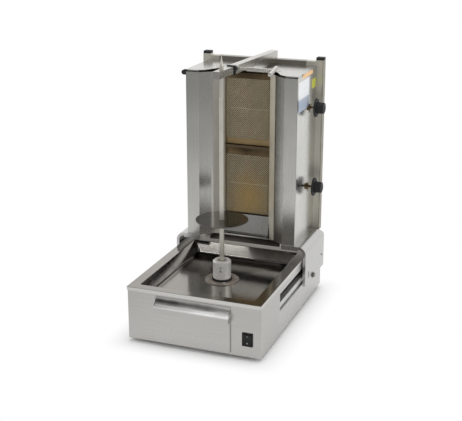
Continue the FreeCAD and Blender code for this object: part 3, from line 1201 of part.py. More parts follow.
def frame_upright():
    """Right upright of the rear frame with the welded corner stub towards the crossbar."""
    mid_x = FRAME_HALF_W - TUBE / 2
    post = square_tube(TUBE, TUBE_WALL, FRAME_BOTTOM, FRAME_TOP, (mid_x, FRAME_MID_Y), "z")
    stub_outer = box(FRAME_JOINT_X, FRAME_HALF_W - TUBE + TUBE_WALL, FRAME_FRONT, FRAME_FRONT + TUBE,
                     CROSSBAR_TOP - TUBE, CROSSBAR_TOP)
    stub_inner = box(FRAME_JOINT_X - 1, FRAME_HALF_W - TUBE, FRAME_FRONT + TUBE_WALL,
                     FRAME_FRONT + TUBE - TUBE_WALL, CROSSBAR_TOP - TUBE + TUBE_WALL,
                     CROSSBAR_TOP - TUBE_WALL)
    return post.fuse(stub_outer.cut(stub_inner)).removeSplitter()


def frame_crossbar():
    """Crossbar between the two corner stubs, with the hole of the arm's pivot."""
    bar = square_tube(TUBE, TUBE_WALL, -FRAME_JOINT_X, FRAME_JOINT_X, (FRAME_MID_Y, CROSSBAR_TOP - TUBE / 2),
                      "x")
    hole = rod(PIVOT_PIN_R, FreeCAD.Vector(ARM_PIVOT_X, FRAME_MID_Y, CROSSBAR_TOP - TUBE - 1), Z_AXIS, TUBE + 2)
    return bar.cut(hole)


def frame_cap():
    """Plastic cap with a plug for the top of the right upright."""
    mid_x = FRAME_HALF_W - TUBE / 2
    half = TUBE / 2
    outline = rounded_rectangle(mid_x - half, mid_x + half, FRAME_MID_Y - half, FRAME_MID_Y + half, 2.0)
    cap = prism(outline, "xy", FRAME_TOP, FRAME_TOP + FRAME_CAP_H)
    inner = half - TUBE_WALL - SEAM_GAP
    plug = box(mid_x - inner, mid_x + inner, FRAME_MID_Y - inner, FRAME_MID_Y + inner,
               FRAME_TOP - FRAME_PLUG_DEPTH, FRAME_TOP + 1)
    rim = [edge for edge in cap.Edges if edge.BoundBox.ZMin > FRAME_TOP + FRAME_CAP_H - 0.1]
    return cap.makeFillet(1.2, rim).fuse(plug).removeSplitter()


def arm_pin():
    """Pivot bolt of the arm: head under the crossbar, flat nut inside the arm."""
    bottom = CROSSBAR_TOP - TUBE
    spot = FreeCAD.Vector(ARM_PIVOT_X, FRAME_MID_Y, bottom)
    nut_z = ARM_BOTTOM + ARM_WALL + ARM_LIFT
    head = hexagon(PIVOT_HEAD_R, spot - Z_AXIS * PIVOT_HEAD_H, Z_AXIS, PIVOT_HEAD_H)
    shank = rod(PIVOT_PIN_R, spot - Z_AXIS, Z_AXIS, nut_z + 1 - bottom + 1)
    nut = rod(PIVOT_HEAD_R, FreeCAD.Vector(ARM_PIVOT_X, FRAME_MID_Y, nut_z), Z_AXIS, PIVOT_HEAD_H)
    return head.fuse([shank, nut]).removeSplitter()


def along_arm(shape):
    """Moves a piece drawn along -Y from the pivot to the arm's place and turn."""
    turned = shape.rotate(ORIGIN, Z_AXIS, ARM_TURN)
    return turned.translate(FreeCAD.Vector(ARM_PIVOT_X, FRAME_MID_Y, 0))


def arm_box(half_w, near, far, z0, z1):
    """A box in the arm's own places, from near to far along the arm from its pivot."""
    return box(-half_w, half_w, -far, -near, z0, z1)


def clamp_spot():
    """Where the clamp screw's axis meets the middle of the arm, in the arm's own places."""
    return FreeCAD.Vector(0, CLAMP_BACK - ARM_FRONT, ARM_MID_Z + CLAMP_RISE)


def arm_tube():
    """Square arm with the clamp boss on its side, near the front end."""
    half = ARM_SIZE / 2
    inner = half - ARM_WALL
    tail = TUBE / 2
    tube = arm_box(half, -tail, ARM_FRONT - GUIDE_LENGTH + GUIDE_SLEEVE, ARM_BOTTOM, ARM_BOTTOM + ARM_SIZE)
    boss = rod(CLAMP_BOSS_R, clamp_spot() + X_AXIS * (half - 1), X_AXIS, CLAMP_BOSS_LENGTH + 1)
    cavity = arm_box(inner, -tail + ARM_WALL, ARM_FRONT + 1, ARM_MID_Z - inner, ARM_MID_Z + inner)
    thread = rod(CLAMP_THREAD_R + RUNNING_FIT, clamp_spot(), X_AXIS, half + CLAMP_BOSS_LENGTH + 1)
    pivot = rod(PIVOT_PIN_R + RUNNING_FIT, FreeCAD.Vector(0, 0, ARM_BOTTOM - 1), Z_AXIS, ARM_WALL + 2)
    arm = tube.fuse(boss).cut([cavity, thread, pivot]).removeSplitter()
    return along_arm(arm)


def collar_insert():
    """Black guide cap on the arm's front end, round the sliding bar."""
    near = ARM_FRONT - GUIDE_LENGTH
    outer = ARM_SIZE / 2 + GUIDE_GAP + GUIDE_WALL
    ring = arm_box(outer, near, ARM_FRONT, ARM_MID_Z - outer, ARM_MID_Z + outer)
    sleeve = ARM_SIZE / 2 + GUIDE_GAP
    over_tube = arm_box(sleeve, near - 1, near + GUIDE_SLEEVE + GUIDE_GAP, ARM_MID_Z - sleeve,
                        ARM_MID_Z + sleeve)
    half = BAR_SIZE / 2 + BAR_CLEARANCE
    way = arm_box(half, near - 1, ARM_FRONT + 1, ARM_MID_Z - half, ARM_MID_Z + half)
    return along_arm(ring.cut([over_tube, way]))


def centre_bar():
    """Square bar that slides in the arm and holds the spit's point in its hole."""
    half = BAR_SIZE / 2
    near = ARM_HOLE - BAR_TAIL
    far = ARM_HOLE + BAR_NOSE
    bar = arm_box(half, near, far, ARM_MID_Z - half, ARM_MID_Z + half)
    inner = half - BAR_WALL
    hollow = arm_box(inner, near - 1, ARM_HOLE - 2 * BAR_HOLE_R, ARM_MID_Z - inner, ARM_MID_Z + inner)
    front_hollow = arm_box(inner, ARM_HOLE + 2 * BAR_HOLE_R, far - BAR_END_T, ARM_MID_Z - inner,
                           ARM_MID_Z + inner)
    hole = rod(BAR_HOLE_R, FreeCAD.Vector(0, -ARM_HOLE, ARM_MID_Z - BAR_SIZE), Z_AXIS, 2 * BAR_SIZE)
    return along_arm(bar.cut([hollow, front_hollow, hole]))


def clamp_screw():
    """Clamp screw of the arm with its thick shank and cross handle."""
    spot = clamp_spot()
    tip_x = BAR_SIZE / 2 + CLAMP_TIP_GAP
    shank_x = ARM_SIZE / 2 + CLAMP_BOSS_LENGTH + CLAMP_THREAD_LENGTH
    end_x = ARM_SIZE / 2 + CLAMP_LENGTH
    thread = rod(CLAMP_THREAD_R, spot + X_AXIS * tip_x, X_AXIS, shank_x - tip_x + 1)
    shank = rod(CLAMP_SHANK_R, spot + X_AXIS * shank_x, X_AXIS, end_x - shank_x)
    tilt = math.radians(CLAMP_HANDLE_TILT)
    way = FreeCAD.Vector(0, math.cos(tilt), math.sin(tilt))
    middle = spot + X_AXIS * end_x
    handle = rod(CLAMP_HANDLE_R, middle - way * (CLAMP_HANDLE_LENGTH / 2), way, CLAMP_HANDLE_LENGTH)
    ends = [edge for edge in handle.Edges if edge.Curve.TypeId == "Part::GeomCircle"]
    handle = handle.makeFillet(CLAMP_HANDLE_R * 0.5, ends)
    return along_arm(thread.fuse([shank, handle]).removeSplitter())


def side_cap():
    """Black half-round cap on the left wall near its top front corner."""
    wall = -CAB_HALF_W - SEAM_GAP
    round_x = wall - CAP_PLUG_REACH + CAP_PLUG_R
    block = box(round_x, wall, CAB_FRONT_Y, CAB_FRONT_Y + CAP_PLUG_LENGTH, CAP_PLUG_Z - CAP_PLUG_R,
                CAP_PLUG_Z + CAP_PLUG_R)
    end = rod(CAP_PLUG_R, FreeCAD.Vector(round_x, CAB_FRONT_Y, CAP_PLUG_Z), Y_AXIS, CAP_PLUG_LENGTH)
    behind = box(wall, 0, CAB_FRONT_Y - 1, CAB_FRONT_Y + CAP_PLUG_LENGTH + 1, CAP_PLUG_Z - CAP_PLUG_R - 1,
                 CAP_PLUG_Z + CAP_PLUG_R + 1)
    return block.fuse(end).cut(behind).removeSplitter()


def build():
    """Builds every piece and writes it."""
    os.makedirs("parts", exist_ok=True)
    right_side, side_cuts = cabinet_side()
    base = {
        "base_shell": base_shell(),
        "side_panel_left": mirrored(side_panel()),
        "side_panel_right": side_panel(),
        "back_panel": back_panel(),
        "floor_plate": floor_plate(),
        "feet": feet(),
        "drip_tray": drip_tray(),
        "bearing_flange": bearing_flange(),
        "flange_screws": flange_screws(),
        "gearbox": gearbox(),
        "gear_motor": gear_motor(),
        "slide_rails": [slide_rail(), mirrored(slide_rail())],
        "drawer_runners": [drawer_runner(), mirrored(drawer_runner())],
        "switch_housing": switch_housing(),
        "terminal_block": terminal_block(),
        "cable_gland": cable_gland(),
    }
    moving = {
        "drawer_front": drawer_front(),
        "drawer_pan": drawer_pan(),
        "rocker": rocker(),
        "drive_shaft": drive_shaft(),
        "drive_socket": drive_socket(),
        "socket_screws": socket_screws(),
        "seal_ring": seal_ring(),
        "spit_rod": spit_rod(),
        "meat_disc": meat_disc(),
        "disc_pin": disc_pin(),
        "valve_stem_upper": valve_stem(VALVE_UPPER),
        "valve_stem_lower": valve_stem(VALVE_LOWER),
        "knob_upper": knob(VALVE_UPPER),
        "knob_lower": knob(VALVE_LOWER),
        "arm_tube": arm_tube(),
        "collar_insert": collar_insert(),
        "centre_bar": centre_bar(),
        "clamp_screw": clamp_screw(),
    }
    tower = {
        "bracket_left": mirrored(bracket()),
        "bracket_right": bracket(),
        "slide_blocks": [slide_block(), mirrored(slide_block())],
        "bracket_bolts": [bracket_bolt(), mirrored(bracket_bolt())],
        "cabinet_side_left": mirrored(right_side.cut(side_cuts[:1])),
        "cabinet_side_right": right_side.cut(side_cuts),
        "reflector_left": mirrored(reflector()),
        "reflector_right": reflector(),
        "cabinet_back": cabinet_back(),
        "cabinet_top": cabinet_top(),
        "cabinet_floor": cabinet_floor(),
        "lower_panel": lower_panel(),
        "shield_plate": shield_plate(),
        "burner_box_upper": burner_box(BURNER_UPPER),
        "burner_box_lower": burner_box(BURNER_LOWER),
        "burner_divider": burner_divider(),
        "burner_meshes": [burner_mesh(BURNER_LOWER), burner_mesh(BURNER_UPPER)],
        "ceramic_plaques": ceramic_plaques(),
        "gas_valves": [gas_valve(VALVE_UPPER), gas_valve(VALVE_LOWER)],
        "gas_pipes": gas_pipes() + [gas_inlet()],
        "frame_upright_left": mirrored(frame_upright()),
        "frame_upright_right": frame_upright(),
        "frame_crossbar": frame_crossbar(),
        "frame_caps": [frame_cap(), mirrored(frame_cap())],
        "arm_pin": arm_pin(),
        "side_cap": side_cap(),
    }
    for group in (base, moving, tower):
        for name, shapes in group.items():
            export(name, shapes)


build()
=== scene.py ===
"""Looks of the gas doner kebab grill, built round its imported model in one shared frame."""

import logging
import math
from dataclasses import dataclass, replace
from enum import Enum
from itertools import product
from typing import Callable, Iterable, Optional, Sequence

import bmesh
import bpy
from bmesh.types import BMEdge, BMVert, BMesh
from bpy.types import ID, Material, Mesh, Node, NodeSocket, NodeTree, Object
from mathutils import Matrix, Vector


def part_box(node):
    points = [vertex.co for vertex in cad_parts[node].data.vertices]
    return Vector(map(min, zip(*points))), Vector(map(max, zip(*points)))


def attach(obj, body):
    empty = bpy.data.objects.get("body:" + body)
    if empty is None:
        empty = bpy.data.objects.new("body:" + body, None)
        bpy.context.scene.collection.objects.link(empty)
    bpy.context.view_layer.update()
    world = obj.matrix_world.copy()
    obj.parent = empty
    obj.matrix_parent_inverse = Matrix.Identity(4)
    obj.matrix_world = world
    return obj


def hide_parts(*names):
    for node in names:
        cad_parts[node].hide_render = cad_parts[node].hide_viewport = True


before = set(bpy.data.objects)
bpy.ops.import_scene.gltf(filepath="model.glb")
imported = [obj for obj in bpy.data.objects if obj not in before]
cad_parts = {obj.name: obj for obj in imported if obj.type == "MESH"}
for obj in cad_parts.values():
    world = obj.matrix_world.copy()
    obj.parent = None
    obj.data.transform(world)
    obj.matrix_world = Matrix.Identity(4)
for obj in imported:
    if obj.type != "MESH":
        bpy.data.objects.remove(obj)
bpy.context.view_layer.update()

log = logging.getLogger("grill")
MM = 0.001
Colour = tuple[float, float, float]
Spot = tuple[float, float, float]
Pair = tuple[float, float]


class Way(Enum):
    """The way in which the fine lines of a brushed sheet run."""

    ACROSS = (6.0, 620.0, 620.0)
    ALONG = (620.0, 6.0, 620.0)
    UP = (620.0, 620.0, 6.0)
    ROUND = (260.0, 260.0, 260.0)


class Bench:
    """Places and joins the nodes of one material or node group."""

    def __init__(self, tree: NodeTree) -> None:
        """Keeps the tree that the nodes go into."""
        self.tree = tree

    def add(self, kind: str, inputs: Optional[dict] = None, **settings: object) -> Node:
        """Adds one node.

        Args:
            kind: Blender's name of the node type.
            inputs: socket name or number to a value, or to an output that is linked to it.
            settings: attributes of the node.

        Returns:
            The new node.
        """
        node = self.tree.nodes.new(kind)
        for key, value in settings.items():
            setattr(node, key, value)
        for key, value in (inputs or {}).items():
            if isinstance(value, NodeSocket):
                self.tree.links.new(value, node.inputs[key])
            else:
                node.inputs[key].default_value = value
        return node

    @classmethod
    def cleared(cls, holder: ID) -> "Bench":
        """The bench of a material or world, with the nodes taken out that it came with."""
        holder.use_nodes = True
        holder.node_tree.nodes.clear()
        return cls(holder.node_tree)

    def join(self, output: NodeSocket, node: Node, name: str) -> None:
        """Links an output to a node's named input."""
        self.tree.links.new(output, node.inputs[name])

    def place(self) -> NodeSocket:
        """The Object coordinates, which stay with a piece as it moves."""
        return self.add("ShaderNodeTexCoord").outputs["Object"]

    def maths(self, operation: str, *values: object, vectors: bool = False) -> NodeSocket:
        """Works out one value from others.

        Args:
            operation: Blender's name of the operation.
            values: the numbers, vectors or outputs that it takes, in the node's order.
            vectors: whether it works on vectors.

        Returns:
            The result's output.
        """
        kind = "ShaderNodeVectorMath" if vectors else "ShaderNodeMath"
        return self.add(kind, dict(enumerate(values)), operation=operation).outputs[int(operation == "LENGTH")]

    def noise(self, place: NodeSocket, scale: object, detail: float, **more: float) -> NodeSocket:
        """Adds a noise pattern.

        Args:
            place: the coordinates that it follows.
            scale: its scale, a number or an output.
            detail: how many finer layers it has.
            more: values of its other inputs.

        Returns:
            The pattern's output.
        """
        return self.add("ShaderNodeTexNoise", {"Vector": place, "Scale": scale, "Detail": detail, **more}).outputs[0]

    def blend_colours(self, share: NodeSocket, first: object, second: object) -> NodeSocket:
        """Mixes two colours.

        Args:
            share: the output that says how much of the second shows.
            first: the colour at share 0, or its output.
            second: the colour at share 1, or its output.

        Returns:
            The mixed colour's output.
        """
        colours = {place: value if isinstance(value, NodeSocket) else (*value, 1.0)
                   for place, value in ((6, first), (7, second))}
        return self.add("ShaderNodeMix", {0: share, **colours}, data_type="RGBA").outputs[2]

    def stretch(self, value: NodeSocket, low: float, high: float, to_low: float = 0.0,
                to_high: float = 1.0) -> NodeSocket:
        """Maps a value's range onto another.

        Args:
            value: the output to map.
            low: its value that becomes to_low.
            high: its value that becomes to_high.
            to_low: the result's lower end.
            to_high: the result's upper end.

        Returns:
            The mapped output.
        """
        return self.add("ShaderNodeMapRange", {0: value, 1: low, 2: high, 3: to_low, 4: to_high}).outputs[0]

    def emboss(self, shader: Node, height: NodeSocket, strength: float, distance: float,
               invert: bool = False) -> None:
        """Lets a pattern raise and sink a shader's surface.

        Args:
            shader: the shader.
            height: the pattern.
            strength: how much of it shows.
            distance: its depth in metres.
            invert: whether high places of the pattern sink.
        """
        bump = self.add("ShaderNodeBump", {"Strength": strength, "Distance": distance, "Height": height}, invert=invert)
        self.join(bump.outputs[0], shader, "Normal")


class Effects:
    """Shader node groups that several finishes share."""

    _made: dict[str, NodeTree] = {}

    @classmethod
    def group(cls, name: str, inputs: dict[str, object], outputs: Sequence[str],
              fill: Callable[[Bench, Node, Node], None]) -> NodeTree:
        """Makes a node group once and gives it again after that.

        Args:
            name: the group's name.
            inputs: name and value of each input, a number or a vector.
            outputs: name of each output, all of them masks.
            fill: adds the nodes between the group's input node and its output node.

        Returns:
            The node group.
        """
        if name not in cls._made:
            tree = bpy.data.node_groups.new(name, "ShaderNodeTree")
            for label, value in inputs.items():
                kind = "NodeSocketVector" if isinstance(value, tuple) else "NodeSocketFloat"
                tree.interface.new_socket(label, in_out="INPUT", socket_type=kind).default_value = value
            for label in outputs:
                tree.interface.new_socket(label, in_out="OUTPUT", socket_type="NodeSocketFloat")
            bench = Bench(tree)
            fill(bench, bench.add("NodeGroupInput"), bench.add("NodeGroupOutput"))
            cls._made[name] = tree
        return cls._made[name]

    @classmethod
    def brushing(cls) -> NodeTree:
        """Fine brushed lines and the slow tone changes of rolled sheet."""
        def fill(bench: Bench, start: Node, end: Node) -> None:
            """Adds the nodes between the two ends."""
            place = bench.place()
            lines_at = bench.maths("MULTIPLY", place, start.outputs["Grain"], vectors=True)
            lines = bench.noise(lines_at, 1.0, 2.0, Roughness=0.6)
            patches = bench.noise(place, start.outputs["Patch scale"], 3.0, Roughness=0.55)
            bench.join(bench.stretch(lines, 0.3, 0.7), end, "Lines")
            bench.join(bench.stretch(patches, 0.35, 0.65), end, "Patches")
        return cls.group("brushed_sheet", {"Grain": Way.ACROSS.value, "Patch scale": 5.0}, ("Lines", "Patches"),
                         fill)

    @classmethod
    def wiping(cls) -> NodeTree:
        """Marks of use: wiped streaks and finger-sized smudges."""
        def fill(bench: Bench, start: Node, end: Node) -> None:
            """Adds the nodes between the two ends."""
            place = bench.place()
            turned = bench.add("ShaderNodeMapping", {"Vector": place, "Rotation": (0.5, 0.35, 0.6),
                                                     "Scale": (14.0, 60.0, 22.0)})
            streaks = bench.noise(turned.outputs[0], 1.0, 4.0, Distortion=0.8)
            smudges = bench.add("ShaderNodeTexVoronoi", {"Vector": place, "Scale": start.outputs["Scale"]},
                                feature="SMOOTH_F1")
            both = bench.maths("MULTIPLY", bench.stretch(streaks, 0.48, 0.75),
                               bench.stretch(smudges.outputs[0], 0.75, 0.2, 0.0, 0.6))
            bench.join(both, end, "Marks")
        return cls.group("wiped_marks", {"Scale": 16.0}, ("Marks",), fill)

    @classmethod
    def ragged_place(cls) -> NodeTree:
        """One place with a ragged edge: 1 at its centre, 0 past its reach."""
        def fill(bench: Bench, start: Node, end: Node) -> None:
            """Adds the nodes between the two ends."""
            place = bench.place()
            from_centre = bench.maths("SUBTRACT", place, start.outputs["Centre"], vectors=True)
            scaled = bench.maths("DIVIDE", from_centre, start.outputs["Reach"], vectors=True)
            away = bench.maths("LENGTH", scaled, vectors=True)
            shift = bench.stretch(bench.noise(place, 26.0, 4.0), 0.0, 1.0, -0.35, 0.35)
            bench.join(bench.stretch(bench.maths("ADD", away, shift), 1.15, 0.1), end, "Heat")
        return cls.group("ragged_place_mask", {"Centre": (0.0, 0.0, 0.0), "Reach": (0.1, 0.1, 0.1)}, ("Heat",), fill)


@dataclass(frozen=True)
class Finish:
    """A plain finish, and what all finishes share."""

    name: str
    colour: Colour
    roughness: float = 0.5

    def start(self) -> tuple[Material, Bench, Node]:
        """Makes an empty material with its shader.

        Returns:
            The material, the bench for its nodes and the Principled shader.
        """
        material = bpy.data.materials.new(self.name)
        bench = Bench.cleared(material)
        shader = bench.add("ShaderNodeBsdfPrincipled")
        bench.add("ShaderNodeOutputMaterial", {"Surface": shader.outputs[0]})
        material.diffuse_color = (*self.colour, 1.0)
        return material, bench, shader

    def tone(self, share: float) -> Colour:
        """The finish's colour made darker or lighter by a share."""
        red, green, blue = self.colour
        return red * share, green * share, blue * share

    def build(self) -> Material:
        """Makes the material."""
        raise NotImplementedError


@dataclass(frozen=True)
class Patch:
    """A place on a sheet that takes its own colour; finishes use it for heat tints, for painted shade and for painted
    highlights.
    """

    colour: Colour
    centre: Spot
    reach: Spot

    def mask(self, bench: Bench) -> NodeSocket:
        """Adds the place's mask, 1 in its middle."""
        return bench.add("ShaderNodeGroup", {"Centre": self.centre, "Reach": self.reach},
                         node_tree=Effects.ragged_place()).outputs["Heat"]


@dataclass(frozen=True)
class Steel(Finish):
    """Stainless or plated sheet, bar or tube, brushed in one way."""

    way: Way = Way.ACROSS
    line_depth: float = 0.05
    line_tone: float = 0.1
    patch_tone: float = 0.08
    patch_scale: float = 5.0
    mark_gain: float = 0.06
    # heat tint on the flange, reflectors, burner boxes and wire; painted shade on the drawer front, the right column
    # and the frame tube
    heat_tint_and_shade: Optional[Patch] = None
    dulling: float = 0.1
    film: float = 0.0
    # a painted highlight: a near-white, less metallic band on the drawer pull's bead and the right bracket's top edge
    wear_and_highlight: Optional[Patch] = None
    highlight_metallic: float = 0.15
    line_shade: float = 0.2
    patch_shade: float = 0.25
    swing: float = 0.15
    depth: float = 0.0004

    def build(self) -> Material:
        """Makes the material, with heat tints and painted shade, a baked film and a painted highlight where the finish
        has them.
        """
        material, bench, shader = self.start()
        grain = bench.add("ShaderNodeGroup", {"Grain": self.way.value, "Patch scale": self.patch_scale},
                          node_tree=Effects.brushing()).outputs
        marks = bench.add("ShaderNodeGroup", node_tree=Effects.wiping()).outputs["Marks"]
        line_share = bench.stretch(grain["Lines"], 0.0, 1.0, 0.0, self.line_tone / self.line_shade)
        lined = bench.blend_colours(line_share, self.colour, self.tone(1.0 - self.line_shade))
        patch_share = bench.stretch(grain["Patches"], 0.0, 1.0, 0.0, self.patch_tone / self.patch_shade)
        toned = bench.blend_colours(patch_share, lined, self.tone(1.0 - self.patch_shade))
        spread = bench.stretch(grain["Lines"], 0.0, 1.0, self.roughness * (1.0 - self.swing),
                               self.roughness * (1.0 + self.swing))
        # The first patch is a heat tint on some finishes and painted shade on others; it also roughens the place.
        if self.heat_tint_and_shade:
            tint_and_shade = self.heat_tint_and_shade.mask(bench)
            toned = bench.blend_colours(tint_and_shade, toned, self.heat_tint_and_shade.colour)
            spread = bench.maths("MULTIPLY_ADD", tint_and_shade, self.dulling, spread)
        shader.inputs["Metallic"].default_value = 1.0 - self.film
        # The second patch is a painted highlight: near-white and less metallic.
        if self.wear_and_highlight:
            edge = self.wear_and_highlight.mask(bench)
            toned = bench.blend_colours(edge, toned, self.wear_and_highlight.colour)
            bench.join(bench.stretch(edge, 0.0, 1.0, 1.0 - self.film, self.highlight_metallic), shader, "Metallic")
        bench.join(toned, shader, "Base Color")
        bench.join(bench.maths("MULTIPLY_ADD", marks, self.mark_gain, spread), shader, "Roughness")
        bench.emboss(shader, grain["Lines"], self.line_depth, self.depth)
        return material


@dataclass(frozen=True)
class Moulded(Finish):
    """Moulded plastic or rubber with a fine spark-eroded grain."""

    grain_scale: float = 900.0
    grain_depth: float = 0.25
    sheen: float = 0.5
    mark_gain: float = 0.15
    depth: float = 0.0002

    def build(self) -> Material:
        """Makes the material."""
        material, bench, shader = self.start()
        marks = bench.add("ShaderNodeGroup", node_tree=Effects.wiping()).outputs["Marks"]
        dusty = bench.blend_colours(marks, self.colour, tuple(c * 1.5 + 0.012 for c in self.colour))
        bench.join(dusty, shader, "Base Color")
        bench.join(bench.maths("MULTIPLY_ADD", marks, self.mark_gain, self.roughness), shader, "Roughness")
        shader.inputs["Specular IOR Level"].default_value = self.sheen
        bench.emboss(shader, bench.noise(bench.place(), self.grain_scale, 2.0), self.grain_depth, self.depth)
        return material


@dataclass(frozen=True)
class Plaque(Finish):
    """Fired ceramic with scorch stains and its rows of small gas holes, the holes drawn as dark dots of painted shade.
    """

    hole_scale: float = 330.0

    def build(self) -> Material:
        """Makes the material."""
        material, bench, shader = self.start()
        place = bench.place()
        holes = bench.add("ShaderNodeTexVoronoi", {"Vector": place, "Scale": self.hole_scale, "Randomness": 0.0})
        stains = bench.stretch(bench.noise(place, 14.0, 4.0), 0.4, 0.68)
        stained = bench.blend_colours(stains, self.colour, self.tone(0.62))
        # Each hole is a dark dot: painted shade inside the hole.
        hole = bench.stretch(holes.outputs["Distance"], 0.34, 0.26)
        bench.join(bench.blend_colours(hole, stained, self.tone(0.18)), shader, "Base Color")
        shader.inputs["Roughness"].default_value = self.roughness
        bench.emboss(shader, hole, 0.6, 0.001, invert=True)
        return material


@dataclass(frozen=True)
class Sticker(Finish):
    """Blank printed film, with a second plain tone below a level where it has one."""

    second: Optional[Colour] = None
    level: float = 0.0
    blur: float = 0.004

    def build(self) -> Material:
        """Makes the material."""
        material, bench, shader = self.start()
        place = bench.place()
        marks = bench.noise(place, 90.0, 3.0)
        wear_and_highlight = bench.blend_colours(bench.stretch(marks, 0.45, 0.75, 0.0, 0.5), self.colour, self.tone(0.86))
        if self.second:
            height = bench.add("ShaderNodeSeparateXYZ", {0: place}).outputs["Z"]
            below = bench.stretch(height, self.level + self.blur, self.level - self.blur)
            wear_and_highlight = bench.blend_colours(below, wear_and_highlight, self.second)
        bench.join(wear_and_highlight, shader, "Base Color")
        rough = bench.stretch(marks, 0.3, 0.7, self.roughness, self.roughness + 0.15)
        bench.join(rough, shader, "Roughness")
        return material


